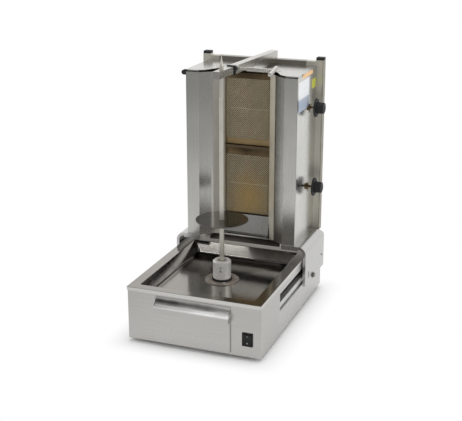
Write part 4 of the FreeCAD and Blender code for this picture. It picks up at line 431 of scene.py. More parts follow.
class Finishes:
    """The finishes of the grill, each made into a material once.

    A steel is given by its name, colour, roughness, grain, line depth, line tone, patch tone, patch scale, mark gain,
    the place that heat has tinted, or on some finishes a painted shade, and how much that place is dulled.
    """

    front = Steel("satin_front", (0.59, 0.58, 0.555), 0.3, Way.ACROSS, 0.05, 0.05, 0.05, 3.0)
    # The drawer front paints shade into the gully above the pull with a dark patch, and paints a highlight along the
    # pull's bead with a near-white patch.
    drawer = replace(front, name="satin_drawer", mark_gain=0.05, dulling=0.4,
                     heat_tint_and_shade=Patch((0.09, 0.087, 0.082), (-0.11, -0.323, 0.1525), (0.25, 0.05, 0.0095)),
                     wear_and_highlight=Patch((0.97, 0.97, 0.96), (0.06, -0.337, 0.1375), (0.24, 0.02, 0.006)))
    # A lighter satin copy of the tray steel for the tray's outer lip faces: painted light.
    lip = Steel("lit_satin_lip", (0.72, 0.71, 0.68), 0.28, Way.ACROSS, 0.05, 0.05, 0.05, 3.0)
    side = Steel("satin_side", (0.62, 0.61, 0.59), 0.28, Way.ALONG, 0.05, 0.06, 0.06, 4.0)
    column = Steel("satin_column", (0.68, 0.675, 0.64), 0.22, Way.UP, 0.02, 0.08, 0.1, 6.0)
    # A darker copy of the column steel: the patch paints shade on the right column's inner facet and wall.
    shaded_column_right = replace(column, name="satin_column_right",
                           heat_tint_and_shade=Patch((0.26, 0.25, 0.22), (0.104, 0.13, 0.5), (0.03, 0.1, 4.0)))
    wall = Steel("polished_wall", (0.6, 0.59, 0.56), 0.2, Way.UP, 0.02, 0.05, 0.05, 4.0)
    tray = Steel("polished_tray", (0.36, 0.342, 0.315), 0.13, Way.ALONG, 0.02, 0.08, 0.1, 7.0, 0.1)
    disc = Steel("polished_disc", (0.22, 0.21, 0.2), 0.12, Way.ACROSS, 0.02, 0.08, 0.1, 14.0, 0.1)
    # The bright patch is a painted highlight: a near-white line along the right bracket's top edge.
    bracket = Steel("satin_bracket", (0.62, 0.615, 0.6), 0.28, Way.ALONG, 0.05, 0.06, 0.05, 6.0,
                    wear_and_highlight=Patch((0.98, 0.98, 0.96), (0.2265, 0.197, 0.2225), (0.008, 0.4, 0.003)))
    bolt = Steel("bolt_steel", (0.3, 0.28, 0.25), 0.3, Way.ROUND, 0.08, 0.06, 0.1, 60.0)
    # The dark patch paints shade down the right upright's side at x = 213 mm.
    frame_tube = Steel("frame_tube", (0.7, 0.675, 0.59), 0.32, Way.UP, 0.05, 0.1, 0.1, 8.0, 0.06,
                       Patch((0.23, 0.21, 0.16), (0.213, 0.311, 0.5), (0.006, 0.1, 4.0)), film=0.4)
    cross_tube = Steel("cross_tube", (0.4, 0.38, 0.33), 0.3, Way.ACROSS, 0.05, 0.1, 0.1, 8.0)
    arm = Steel("arm_tube_steel", (0.66, 0.645, 0.6), 0.26, Way.ALONG, 0.05, 0.08, 0.06, 10.0)
    turned = Steel("turned_steel", (0.93, 0.92, 0.89), 0.3, Way.ROUND, 0.02, 0.05, 0.05, 20.0, film=0.5)
    rod = Steel("spit_steel", (0.7, 0.68, 0.6), 0.3, Way.UP, 0.05, 0.08, 0.1, 20.0, film=0.4)
    flange = Steel("rusty_plate", (0.52, 0.47, 0.42), 0.34, Way.ROUND, 0.1, 0.1, 0.14, 40.0, 0.1,
                   Patch((0.26, 0.17, 0.12), (0.0, -0.0745, 0.146), (0.05, 0.05, 0.02)), film=0.3)
    zinc = Steel("zinc_plate", (0.66, 0.66, 0.65), 0.3, Way.ROUND, 0.08, 0.06, 0.1, 60.0, film=0.3)
    reflector_left = Steel("tinted_reflector_left", (0.56, 0.54, 0.49), 0.36, Way.UP, 0.04, 0.08, 0.1, 8.0, 0.06,
                           Patch((0.42, 0.33, 0.2), (0.0, 0.17, 0.52), (0.1, 0.08, 0.3)), film=0.2)
    # A lighter copy of the left reflector's steel, with a lighter heat tint: partly a dusty diffuse film, partly
    # painted light where the light from the front-left falls.
    reflector_right = replace(reflector_left, name="lit_tinted_reflector_right", colour=(0.88, 0.84, 0.72),
                              roughness=0.42, heat_tint_and_shade=Patch((0.6, 0.48, 0.3), (0.0, 0.17, 0.52), (0.1, 0.08, 0.3)),
                              film=0.55)
    shield = Steel("shield_steel", (0.62, 0.61, 0.585), 0.26, Way.ACROSS, 0.04, 0.08, 0.08, 8.0)
    dark_panel = Steel("sooty_panel", (0.2, 0.185, 0.165), 0.32, Way.ACROSS, 0.05, 0.1, 0.1, 8.0)
    box = Steel("burner_box_steel", (0.38, 0.27, 0.13), 0.45, Way.ACROSS, 0.08, 0.1, 0.16, 16.0, 0.1,
                Patch((0.07, 0.045, 0.02), (0.0, 0.17, 0.76), (0.16, 0.2, 0.05)), film=0.4)
    box_lower = replace(box, name="burner_box_steel_lower",
                        heat_tint_and_shade=Patch((0.07, 0.045, 0.02), (0.0, 0.17, 0.512), (0.16, 0.2, 0.04)))
    divider = Steel("divider_steel", (0.17, 0.13, 0.08), 0.35, Way.ACROSS, 0.04, 0.08, 0.1, 16.0)
    wire = Steel("woven_wire", (0.66, 0.58, 0.42), 0.4, Way.ROUND, 0.05, 0.08, 0.14, 24.0, 0.06,
                 Patch((0.8, 0.58, 0.26), (0.0, 0.17, 0.34), (0.07, 0.1, 0.1)), film=0.6)
    brass = Steel("gas_brass", (0.2, 0.15, 0.08), 0.34, Way.ROUND, 0.05, 0.1, 0.2, 50.0)
    pipe = Steel("pipe_steel", (0.4, 0.39, 0.37), 0.42, Way.ROUND, 0.08, 0.1, 0.16, 30.0)
    black = Moulded("black_plastic", (0.022, 0.022, 0.024), 0.6, 900.0, 0.25, 0.25)
    gloss_black = Moulded("gloss_black", (0.008, 0.008, 0.009), 0.35, 500.0, 0.05, 0.3)
    rubber = Moulded("black_rubber", (0.015, 0.015, 0.015), 0.7, 900.0, 0.25, 0.2)
    paint = Moulded("grey_paint", (0.16, 0.175, 0.19), 0.38, 300.0, 0.2)
    white_plastic = Moulded("white_plastic", (0.7, 0.69, 0.64), 0.4)
    mark = Moulded("printed_mark", (0.5, 0.5, 0.5), 0.5)
    ceramic = Plaque("fired_ceramic", (0.2, 0.14, 0.07), 0.85)
    cement = Plaque("white_cement", (0.82, 0.76, 0.62), 0.8, 900.0)
    orange_film = Sticker("orange_film", (0.93, 0.58, 0.28), 0.45)
    white_film = Sticker("white_film", (0.86, 0.88, 0.9), 0.4, (0.42, 0.48, 0.58), 0.7)
    yellow_film = Sticker("yellow_film", (0.5, 0.5, 0.06), 0.45)

    _made: dict[str, Material] = {}

    @classmethod
    def material(cls, finish: Finish) -> Material:
        """The material of a finish, made the first time that it is asked for."""
        if finish.name not in cls._made:
            cls._made[finish.name] = finish.build()
        return cls._made[finish.name]


def dress_nodes(finish: Finish, *nodes: str) -> None:
    """Gives carried-over nodes their finish.

    Args:
        finish: the finish for all of them.
        nodes: the nodes' names.
    """
    material = Finishes.material(finish)
    for name in nodes:
        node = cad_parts[name]
        if not node.material_slots:
            node.data.materials.append(material)
        for slot in node.material_slots:
            slot.material = material
        log.info("dressed %s in %s", name, finish.name)


def turn_to(axis: Vector) -> Matrix:
    """The turn that brings +Z onto an axis."""
    return axis.to_track_quat("Z", "Y").to_matrix().to_4x4()


def soften(shape: BMesh, width: float, steps: int = 2, angle: float = 40.0) -> None:
    """Rounds the sharp edges of a shape.

    Args:
        shape: the shape to change.
        width: the rounding's width in metres.
        steps: segments across the rounding.
        angle: edges sharper than this many degrees are rounded.
    """
    sharp = [edge for edge in shape.edges if edge.is_manifold and edge.calc_face_angle(0.0) > math.radians(angle)]
    bmesh.ops.bevel(shape, geom=sharp, offset=width, affect="EDGES", segments=steps, profile=0.5, material=-1,
                    clamp_overlap=True)


def put(shape: BMesh, part: BMesh) -> list[BMEdge]:
    """Moves a finished part into a shape.

    Args:
        shape: the shape that takes it.
        part: the part; it is freed.

    Returns:
        The part's edges in the shape, in their order.
    """
    carrier = bpy.data.meshes.new("carrier")
    part.to_mesh(carrier)
    part.free()
    before = len(shape.edges)
    shape.from_mesh(carrier)
    bpy.data.meshes.remove(carrier)
    shape.edges.ensure_lookup_table()
    return shape.edges[before:]


def block(shape: BMesh, size: Sequence[float], middle: Sequence[float], soft: float = 0.0,
          turn: Optional[Matrix] = None) -> list[BMEdge]:
    """Adds a block with softened edges to a shape.

    Args:
        shape: the shape it is added to.
        size: its three sizes.
        middle: its middle.
        soft: the width of its softened edges.
        turn: how it is turned about its middle.

    Returns:
        Its edges in the shape.
    """
    own = bmesh.new()
    bmesh.ops.create_cube(own, size=1.0)
    bmesh.ops.scale(own, vec=size, verts=own.verts)
    if soft:
        soften(own, soft)
    own.transform(Matrix.Translation(middle) @ (turn or Matrix.Identity(4)))
    return put(shape, own)


def plate(size_x: float, size_y: float, corner: float, steps: int, middle: Sequence[float] = (0, 0, 0)) -> BMesh:
    """Makes a level rounded rectangle.

    Args:
        size_x: its size along X.
        size_y: its size along Y.
        corner: its corners' radius.
        steps: segments in each corner.
        middle: its middle.

    Returns:
        The new shape, with its one face.
    """
    own = bmesh.new()
    bmesh.ops.create_grid(own, x_segments=1, y_segments=1, size=0.5)
    bmesh.ops.scale(own, vec=(size_x, size_y, 1.0), verts=own.verts)
    bmesh.ops.translate(own, vec=middle, verts=own.verts)
    bmesh.ops.bevel(own, geom=own.verts[:], offset=corner, affect="VERTICES", segments=steps, profile=0.5,
                    material=-1)
    return own


def ring_of(shape: BMesh, half_x: float, half_y: float, middle: Sequence[float], radius: float,
            steps: int = 6) -> list[BMEdge]:
    """Adds a rounded rectangle of edges in a level plane.

    Args:
        shape: the shape it is added to.
        half_x: half its size along X.
        half_y: half its size along Y.
        middle: its middle.
        radius: its corners' radius.
        steps: segments in each corner.

    Returns:
        Its edges.
    """
    own = plate(2 * half_x, 2 * half_y, radius, steps, middle)
    bmesh.ops.delete(own, geom=own.faces[:], context="FACES_ONLY")
    return put(shape, own)


def set_out(name: str, data: ID) -> Object:
    """Makes an object of a mesh, lamp or camera and puts it into the scene."""
    thing = bpy.data.objects.new(name, data)
    bpy.context.scene.collection.objects.link(thing)
    return thing


@dataclass(frozen=True)
class Screw:
    """A small round-head screw whose cross recess is drawn as a thin black cross: painted shade."""

    radius: float = 3.8 * MM
    height: float = 2.2 * MM
    sides: int = 20
    steps: tuple[Pair, ...] = ((1.0, 0.35), (0.86, 0.4), (0.55, 0.25))
    recess_share: float = 0.2
    recess_height: float = 0.12 * MM

    def place(self, shape: BMesh, spot: Vector, axis: Vector) -> None:
        """Adds the screw's head to a shape.

        Args:
            shape: the shape it is added to.
            spot: the point on the wall under its middle.
            axis: the way its head looks.
        """
        own = bmesh.new()
        bmesh.ops.create_circle(own, cap_ends=True, radius=self.radius, segments=self.sides)
        face = own.faces[:][0]
        for share, rise in self.steps:
            grown = bmesh.ops.extrude_discrete_faces(own, faces=[face])
            face = grown["faces"][0]
            bmesh.ops.translate(own, vec=(0, 0, self.height * rise), verts=face.verts)
            flat = self.radius * share / max(v.co.xy.length for v in face.verts)
            bmesh.ops.scale(own, vec=(flat, flat, 1.0), verts=face.verts)
        # The cross recess is a thin black block on the head's top, painted shade in place of a cut.
        for turn in (0.0, math.pi / 2):
            edges = block(own, (self.radius, self.radius * self.recess_share, self.recess_height),
                          (0, 0, self.height), turn=Matrix.Rotation(turn, 4, "Z"))
            for side in [face for edge in edges for face in edge.link_faces]:
                side.material_index = 1
        own.transform(Matrix.Translation(spot) @ turn_to(axis))
        put(shape, own)


@dataclass
class Assembly:
    """A group of pieces that ride on one body."""

    body: str

    def add(self, name: str, shape: BMesh, finish: Finish, slot: str, smooth_angle: float = 35.0,
            body: str = "") -> Object:
        """Makes a piece from a shape and lets it ride.

        Args:
            name: the piece's name.
            shape: its shape, in metres in the shared frame; it is freed.
            finish: its finish.
            slot: the record's material slot; not used.
            smooth_angle: edges flatter than this many degrees are shaded smooth.
            body: the body it rides on, where that isn't the assembly's own.

        Returns:
            The new object.
        """
        mesh = bpy.data.meshes.new(name)
        shape.to_mesh(mesh)
        shape.free()
        mesh.polygons.foreach_set("use_smooth", [True] * len(mesh.polygons))
        mesh.set_sharp_from_angle(angle=math.radians(smooth_angle))
        mesh.materials.append(Finishes.material(finish))
        piece = set_out(name, mesh)
        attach(piece, body or self.body)
        log.info("made %s with %d faces", name, len(mesh.polygons))
        return piece

    def screws(self, name: str, level: float, places: Iterable[Pair], axis: Spot, screw: Screw = Screw(),
               finish: Finish = Finishes.zinc) -> None:
        """Builds a group of like screws on a flat wall.

        Args:
            name: the piece's name.
            level: where the wall lies along the axis, in metres.
            places: where the screws are on the wall, in millimetres.
            axis: the way the heads look.
            screw: the screw that is repeated.
            finish: the heads' finish.
        """
        shape = bmesh.new()
        for place in places:
            rest = iter(place)
            screw.place(shape, Vector([level if part else next(rest) * MM for part in axis]), Vector(axis))
        piece = self.add(name, shape, finish, "zinc_steel", 50.0)
        # The second material, black, is the recesses' painted shade.
        piece.data.materials.append(Finishes.material(Finishes.gloss_black))


@dataclass
class Tray(Assembly):
    """The polished tray: rim, folded lip and sunk pan in one pressed sheet."""

    rim_side: float = 30.5 * MM
    rim_front: float = 28.0 * MM
    rim_rear: float = 177.0 * MM
    depth: float = 38.4 * MM
    slope: float = 19.5 * MM
    lip: float = 11.9 * MM
    fold: float = 1.8 * MM
    sheet: float = 0.8 * MM
    tuck: float = 0.9 * MM
    flat: float = 0.9 * MM
    dish: float = 0.05 * MM
    weld: float = 0.005 * MM
    edge_rings: tuple[Pair, ...] = ((0.0, 1.6), (0.0, 0.7), (0.2, 0.2), (0.7, 0.0), (1.6, 0.0))
    top_radius: float = 2.0 * MM
    floor_radius: float = 9.0 * MM
    corner_top: float = 5.0 * MM
    corner_floor: float = 15.0 * MM
    outer_corner: float = 2.5 * MM
    drain_radius: float = 14.0 * MM
    drain_setback: float = 82.0 * MM
    drain_depth: float = 10.5 * MM
    drive_radius: float = 20.0 * MM
    drive_y: float = -74.5 * MM
    hole_sides: int = 48

    def build(self) -> None:
        """Builds the tray in place of its node."""
        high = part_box("drip_tray")[1]
        top = high.z
        base_x, base_y = high.x - self.fold, high.y - self.fold
        half_x = base_x - self.rim_side
        front = -base_y + self.rim_front
        rear = base_y - self.rim_rear
        middle = (rear + front) / 2
        folds = [(inset * MM, drop * MM) for inset, drop in self.edge_rings]
        rim = [(high.x - inset, high.y - inset, (0, 0, top - drop), self.outer_corner)
               for inset, drop in ((self.tuck, self.lip), *folds)]
        pan = [(half_x - inset, (rear - front) / 2 - inset, (0, middle, top - drop),
                self.corner_top + (self.corner_floor - self.corner_top) * drop / self.depth)
               for inset, drop in self.pan_profile()]
        holes = [(self.drain_radius, -base_y + self.drain_setback), (self.drive_radius, self.drive_y)]
        floor = top - self.depth - self.dish
        shape = bmesh.new()
        for rings in (rim, pan):
            made = [ring_of(shape, *ring) for ring in rings]
            for outer, inner in zip(made, made[1:]):
                bmesh.ops.bridge_loops(shape, edges=outer + inner)
        self.sheet_between(shape, [rim[-1], pan[0]], [], floor)
        self.sheet_between(shape, [pan[-1]], holes, floor)
        bmesh.ops.remove_doubles(shape, verts=shape.verts[:], dist=self.weld)
        drain_y = holes[0][1]
        drain = [edge for edge in shape.edges if edge.is_boundary
                 and all(abs(math.hypot(vert.co.x, vert.co.y - drain_y) - self.drain_radius) < 2 * self.weld
                         for vert in edge.verts)]
        spout = bmesh.ops.extrude_edge_only(shape, edges=drain)["geom"]
        bmesh.ops.translate(shape, vec=(0, 0, -self.drain_depth),
                            verts=[part for part in spout if isinstance(part, BMVert)])
        bmesh.ops.recalc_face_normals(shape, faces=shape.faces[:])
        if sum(face.normal.z * face.calc_area() for face in shape.faces) < 0:
            bmesh.ops.reverse_faces(shape, faces=shape.faces[:])
        for face in shape.faces:
            middle_of = face.calc_center_median()
            outside = abs(middle_of.x) > base_x or abs(middle_of.y) > base_y
            # The outer upright lip faces take the lighter lip copy of the steel: painted light.
            face.material_index = int(outside and abs(face.normal.z) < 0.5)
        bmesh.ops.solidify(shape, geom=shape.faces[:], thickness=self.sheet)
        bmesh.ops.recalc_face_normals(shape, faces=shape.faces[:])
        tray = self.add("tray_sheet", shape, Finishes.tray, "polished_steel", 30.0)
        tray.data.materials.append(Finishes.material(Finishes.lip))
        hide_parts("drip_tray")

    def pan_profile(self, steps: int = 5) -> list[Pair]:
        """The pan's wall from the rim to its floor.

        Args:
            steps: segments of each rounding.

        Returns:
            How far in and how far down each ring lies.
        """
        lean = math.atan2(self.depth, self.slope)
        turns = [lean * i / steps for i in range(steps + 1)]
        upper = [(self.top_radius * (math.sin(turn) - math.tan(lean / 2)), self.top_radius * (1 - math.cos(turn)))
                 for turn in turns]
        lower = [(self.slope - self.floor_radius * (math.sin(turn) - math.tan(lean / 2)),
                  self.depth - self.floor_radius * (1 - math.cos(turn))) for turn in reversed(turns)]
        wall = (self.flat * math.cos(lean), self.flat * math.sin(lean))
        start, end = upper[-1], lower[0]
        held = [(start[0] + wall[0], start[1] + wall[1]), (end[0] - wall[0], end[1] - wall[1])]
        last = (lower[-1][0] + self.flat, self.depth + self.dish)
        return [(upper[0][0] - self.flat, 0.0), *upper, *held, *lower, last]

    def sheet_between(self, shape: BMesh, rings: list[tuple], holes: list[Pair], height: float) -> None:
        """Adds a flat sheet between rounded rectangles, with round holes.

        Args:
            shape: the tray's shape.
            rings: the sizes, middle and corner radius of its outlines.
            holes: radius and y of each round hole.
            height: the height of the holes.
        """
        own = bmesh.new()
        edges = [edge for ring in rings for edge in ring_of(own, *ring)]
        for radius, y in holes:
            hole = bmesh.new()
            bmesh.ops.create_circle(hole, cap_ends=False, radius=radius, segments=self.hole_sides,
                                    matrix=Matrix.Translation((0, y, height)))
            edges += put(own, hole)
        bmesh.ops.triangle_fill(own, use_beauty=True, normal=(0.0, 0.0, 1.0), edges=edges)
        put(shape, own)


@dataclass
class BurnerScreens(Assembly):
    """Woven wire screens in front of the plaques, and the cement seams between the plaques."""

    pitch: float = 5.0 * MM
    wire: float = 0.8 * MM
    wave: float = 0.5 * MM
    steps: int = 4
    window: float = 199.0 * MM
    seam_depth: float = 3.0 * MM
    seam_height: float = 2.4 * MM
    seam_in: float = 0.9 * MM
    seam_soft: float = 0.5 * MM
    touch: float = 1e-6

    def build(self) -> None:
        """Builds both screens and both seams."""
        low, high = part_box("burner_meshes")
        plaque_low, plaque_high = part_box("ceramic_plaques")
        y = high.y - self.wire - self.wave
        screens = []
        for name, bottom in (("lower", low.z), ("upper", high.z - self.window)):
            shape = self.woven((low.x, high.x), (bottom, bottom + self.window), y)
            screens.append(self.add("screen_" + name, shape, Finishes.wire, "heated_steel", 60.0))
            seam = bmesh.new()
            block(seam, (plaque_high.x - plaque_low.x, self.seam_depth, self.seam_height),
                  (0, plaque_low.y + self.seam_in, bottom + self.window / 2), self.seam_soft)
            self.add("cement_seam_" + name, seam, Finishes.cement, "ceramic")
        for screen in screens:
            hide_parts("burner_meshes")

    def strand(self, count: int) -> Mesh:
        """One waved wire along X.

        Args:
            count: how many wires it crosses on each side of its middle.

        Returns:
            A mesh that the screens copy and delete.
        """
        own = bmesh.new()
        bmesh.ops.create_circle(own, cap_ends=False, radius=self.wire, segments=4,
                                matrix=Matrix.Translation((-count * self.pitch, self.wave, 0))
                                @ Matrix.Rotation(math.pi / 2, 4, "Y"))
        edges = own.edges[:]
        for i in range(1, count * 2 * self.steps + 1):
            grown = bmesh.ops.extrude_edge_only(own, edges=edges)["geom"]
            fresh = {part for part in grown if isinstance(part, BMVert)}
            edges = [part for part in grown if isinstance(part, BMEdge) and fresh.issuperset(part.verts)]
            rise = math.cos(math.pi * i / self.steps) - math.cos(math.pi * (i - 1) / self.steps)
            bmesh.ops.translate(own, vec=(self.pitch / self.steps, self.wave * rise, 0), verts=list(fresh))
        bmesh.ops.recalc_face_normals(own, faces=own.faces[:])
        mesh = bpy.data.meshes.new("strand")
        own.to_mesh(mesh)
        own.free()
        return mesh

    def woven(self, across: Pair, up: Pair, y: float) -> BMesh:
        """Two sets of waved wires, crossing at a right angle and cut to the window.

        Args:
            across: the window's left and right side.
            up: its bottom and top.
            y: the screen's middle plane.

        Returns:
            The woven shape.
        """
        shape = bmesh.new()
        middle = Matrix.Translation((sum(across) / 2, y, sum(up) / 2))
        count = int(math.hypot(across[1] - across[0], up[1] - up[0]) / 2 / self.pitch)
        strand = self.strand(count)
        cuts = (((across[0], 0, 0), (-1, 0, 0)), ((across[1], 0, 0), (1, 0, 0)), ((0, 0, up[0]), (0, 0, -1)),
                ((0, 0, up[1]), (0, 0, 1)))
        for way in (-1, 1):
            for i in range(-count, count + 1):
                own = bmesh.new()
                own.from_mesh(strand)
                over = way if i % 2 else -way
                own.transform(middle @ Matrix.Rotation(way * math.pi / 4, 4, "Y")
                              @ Matrix.Translation((0, 0, i * self.pitch)) @ Matrix.Diagonal((1, over, 1, 1)))
                if over < 0:
                    bmesh.ops.reverse_faces(own, faces=own.faces[:])
                for spot, side in cuts:
                    bmesh.ops.bisect_plane(own, geom=own.verts[:] + own.edges[:] + own.faces[:], dist=self.touch,
                                           plane_co=spot, plane_no=side, clear_outer=True)
                put(shape, own)
        bpy.data.meshes.remove(strand)
        return shape


@dataclass
class Cabinet(Assembly):
    """What the tower's walls carry: screws, valve nuts and blank films."""

    wall_x: float = 188.3 * MM
    right_screws: tuple[Pair, ...] = ((223.0, 640.5), (225.0, 592.0), (228.5, 458.0), (226.0, 374.5))
    left_columns: tuple[float, ...] = (120.0, 270.0)
    left_rows: tuple[float, ...] = (740.0, 500.0, 260.0)
    back_columns: tuple[float, ...] = (-165.0, 0.0, 165.0)
    back_rows: tuple[float, ...] = (246.0, 420.0, 570.0, 764.0)
    bracket_x: float = 228.0 * MM
    bracket_place: Pair = (283.0, 133.0)
    bracket_screw: Screw = Screw(3.2 * MM, 2.0 * MM)
    nut_rings: tuple[tuple[float, float, int], ...] = ((9.0, 0.8, 32), (8.0, 3.6, 6))
    nut_soft: float = 0.35 * MM
    film: float = 0.25 * MM
    film_gap: float = 0.02 * MM

    def build(self) -> None:
        """Builds all the small pieces of the walls."""
        self.screws("wall_screws_right", self.wall_x, self.right_screws, (1, 0, 0))
        left = [(y, z) for z in self.left_rows for y in self.left_columns]
        self.screws("wall_screws_left", -self.wall_x, left, (-1, 0, 0))
        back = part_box("cabinet_back")[1].y
        self.screws("back_screws", back, product(self.back_columns, self.back_rows), (0, 1, 0))
        for name, side in (("bracket_screw_right", 1), ("bracket_screw_left", -1)):
            self.screws(name, side * self.bracket_x, [self.bracket_place], (side, 0, 0), self.bracket_screw,
                          Finishes.bolt)
        self.nuts()
        self.labels()

    def nuts(self) -> None:
        """Builds the flat brass nut and washer round each valve's nose."""
        for level in ("upper", "lower"):
            low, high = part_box("knob_" + level)
            spot = Vector((self.wall_x, (low.y + high.y) / 2, (low.z + high.z) / 2))
            shape = bmesh.new()
            for radius, length, count in self.nut_rings:
                made = bmesh.ops.create_cone(shape, cap_ends=True, segments=count, radius1=radius * MM,
                                             radius2=radius * MM, depth=length * MM)
                bmesh.ops.translate(shape, vec=(0, 0, length * MM / 2), verts=made["verts"])
            soften(shape, self.nut_soft)
            shape.transform(Matrix.Translation(spot) @ turn_to(Vector((1, 0, 0))))
            self.add("valve_nut_" + level, shape, Finishes.brass, "gas_brass")

    def labels(self) -> None:
        """Builds the three blank films on the right wall."""
        films = (("film_orange", Finishes.orange_film, 144.0, 253.0, 762.0, 774.0, 1.0),
                 ("film_white", Finishes.white_film, 103.0, 215.0, 660.0, 756.0, 3.0),
                 ("film_yellow", Finishes.yellow_film, 246.0, 290.0, 712.0, 742.0, 1.0))
        for name, finish, y0, y1, z0, z1, corner in films:
            shape = plate((y1 - y0) * MM, (z1 - z0) * MM, corner * MM, 4)
            bmesh.ops.solidify(shape, geom=shape.faces[:], thickness=self.film)
            shape.transform(Matrix.Rotation(math.pi / 2, 4, "Z") @ Matrix.Rotation(math.pi / 2, 4, "X"))
            high_x = max(v.co.x for v in shape.verts)
            bmesh.ops.translate(shape, vec=(self.wall_x + self.film - high_x + self.film_gap, (y0 + y1) / 2 * MM,
                                            (z0 + z1) / 2 * MM), verts=shape.verts[:])
            bmesh.ops.recalc_face_normals(shape, faces=shape.faces[:])
            self.add(name, shape, finish, "white_plastic")


@dataclass
class Base(Assembly):
    """What the base carries: its tray, its screws and the switch's marks."""

    rear_columns: tuple[float, ...] = (-200.0, 0.0, 200.0)
    rear_rows: tuple[float, ...] = (26.0, 164.0)
    under_columns: tuple[float, ...] = (-200.0, 200.0)
    under_rows: tuple[float, ...] = (-300.0, -90.0, 110.0, 300.0)
    under_screw: Screw = Screw(3.8 * MM, 2.0 * MM)
    rocker_dip: float = 2.4 * MM
    bar: Spot = (5.0 * MM, 0.3 * MM, 1.2 * MM)
    ring_radius: float = 2.4 * MM
    ring_width: float = 0.9 * MM

    def build(self) -> None:
        """Builds the small pieces of the base."""
        Tray(self.body).build()
        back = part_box("back_panel")[1].y
        self.screws("rear_screws", back, product(self.rear_columns, self.rear_rows), (0, 1, 0))
        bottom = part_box("floor_plate")[0].z
        self.screws("floor_screws", bottom, product(self.under_columns, self.under_rows), (0, 0, -1),
                      self.under_screw)
        self.marks()

    def marks(self) -> None:
        """Builds the plain position marks on the rocker: a bar, a ring and a double bar."""
        low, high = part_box("rocker")
        x = (low.x + high.x) / 2
        middle = (low.z + high.z) / 2
        half = (high.z - low.z) / 2
        shape = bmesh.new()
        for share, way in ((0.62, -1), (-0.58, 1), (-0.68, 1)):
            block(shape, self.bar,
                  (x, low.y + self.rocker_dip * (1 - abs(share)), middle + half * share),
                  turn=Matrix.Rotation(way * math.atan2(self.rocker_dip, half), 4, "X"))
        ring = bmesh.new()
        bmesh.ops.create_circle(ring, cap_ends=True, radius=self.ring_radius, segments=24)
        bmesh.ops.inset_region(ring, faces=ring.faces[:], thickness=self.ring_width)
        centre = max(ring.faces, key=lambda face: len(face.verts))
        bmesh.ops.delete(ring, geom=[centre], context="FACES")
        bmesh.ops.solidify(ring, geom=ring.faces[:], thickness=self.bar[1])
        bmesh.ops.recalc_face_normals(ring, faces=ring.faces[:])
        ring.transform(Matrix.Translation((x, low.y + self.rocker_dip, middle)) @ turn_to(Vector((0, -1, 0))))
        put(shape, ring)
        self.add("rocker_marks", shape, Finishes.mark, "white_plastic", body="switch")


@dataclass
class Knob(Assembly):
    """The white pointer line on one gas knob."""

    level: str = "upper"
    size: Spot = (0.5 * MM, 1.6 * MM, 9.0 * MM)
    sink: float = 0.22 * MM
    rise: float = 10.5 * MM
    soft: float = 0.1 * MM

    def build(self) -> None:
        """Builds the pointer line."""
        low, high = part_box("knob_" + self.level)
        shape = bmesh.new()
        block(shape, self.size, (high.x - self.sink, (low.y + high.y) / 2, (low.z + high.z) / 2 + self.rise),
              self.soft)
        self.add("pointer_" + self.level, shape, Finishes.mark, "white_plastic")


@dataclass
class RearFrame(Assembly):
    """Weld beads at the joints of the rear frame."""

    bead: float = 1.4 * MM
    soft: float = 0.35

    def build(self) -> None:
        """Builds the bead round each end of the crossbar."""
        low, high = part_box("frame_crossbar")
        shape = bmesh.new()
        for x in (low.x, high.x):
            own = bmesh.new()
            bmesh.ops.create_grid(own, x_segments=1, y_segments=1, size=0.5)
            bmesh.ops.scale(own, vec=(high.y - low.y, high.z - low.z, 1.0), verts=own.verts)
            bmesh.ops.wireframe(own, faces=own.faces[:], thickness=self.bead, use_replace=True,
                                use_boundary=True, use_even_offset=True)
            soften(own, self.bead * self.soft)
            own.transform(Matrix.Translation((x, (low.y + high.y) / 2, (low.z + high.z) / 2))
                          @ turn_to(Vector((1, 0, 0))))
            put(shape, own)
        self.add("frame_welds", shape, Finishes.cross_tube, "satin_steel")


@dataclass(frozen=True)
class Lamp:
    """A soft lamp aimed at the grill."""

    name: str
    spot: Spot
    width: float
    height: float
    power: float
    target: Spot = (0.0, 0.0, 0.35)

    def build(self) -> None:
        """Hangs the lamp."""
        lamp = bpy.data.lights.new(self.name, "AREA")
        lamp.shape = "RECTANGLE"
        lamp.size = self.width
        lamp.size_y = self.height
        lamp.energy = self.power
        holder = set_out(self.name, lamp)
        holder.location = self.spot
        aim = Vector(self.target) - Vector(self.spot)
        holder.rotation_euler = aim.to_track_quat("-Z", "Y").to_euler()


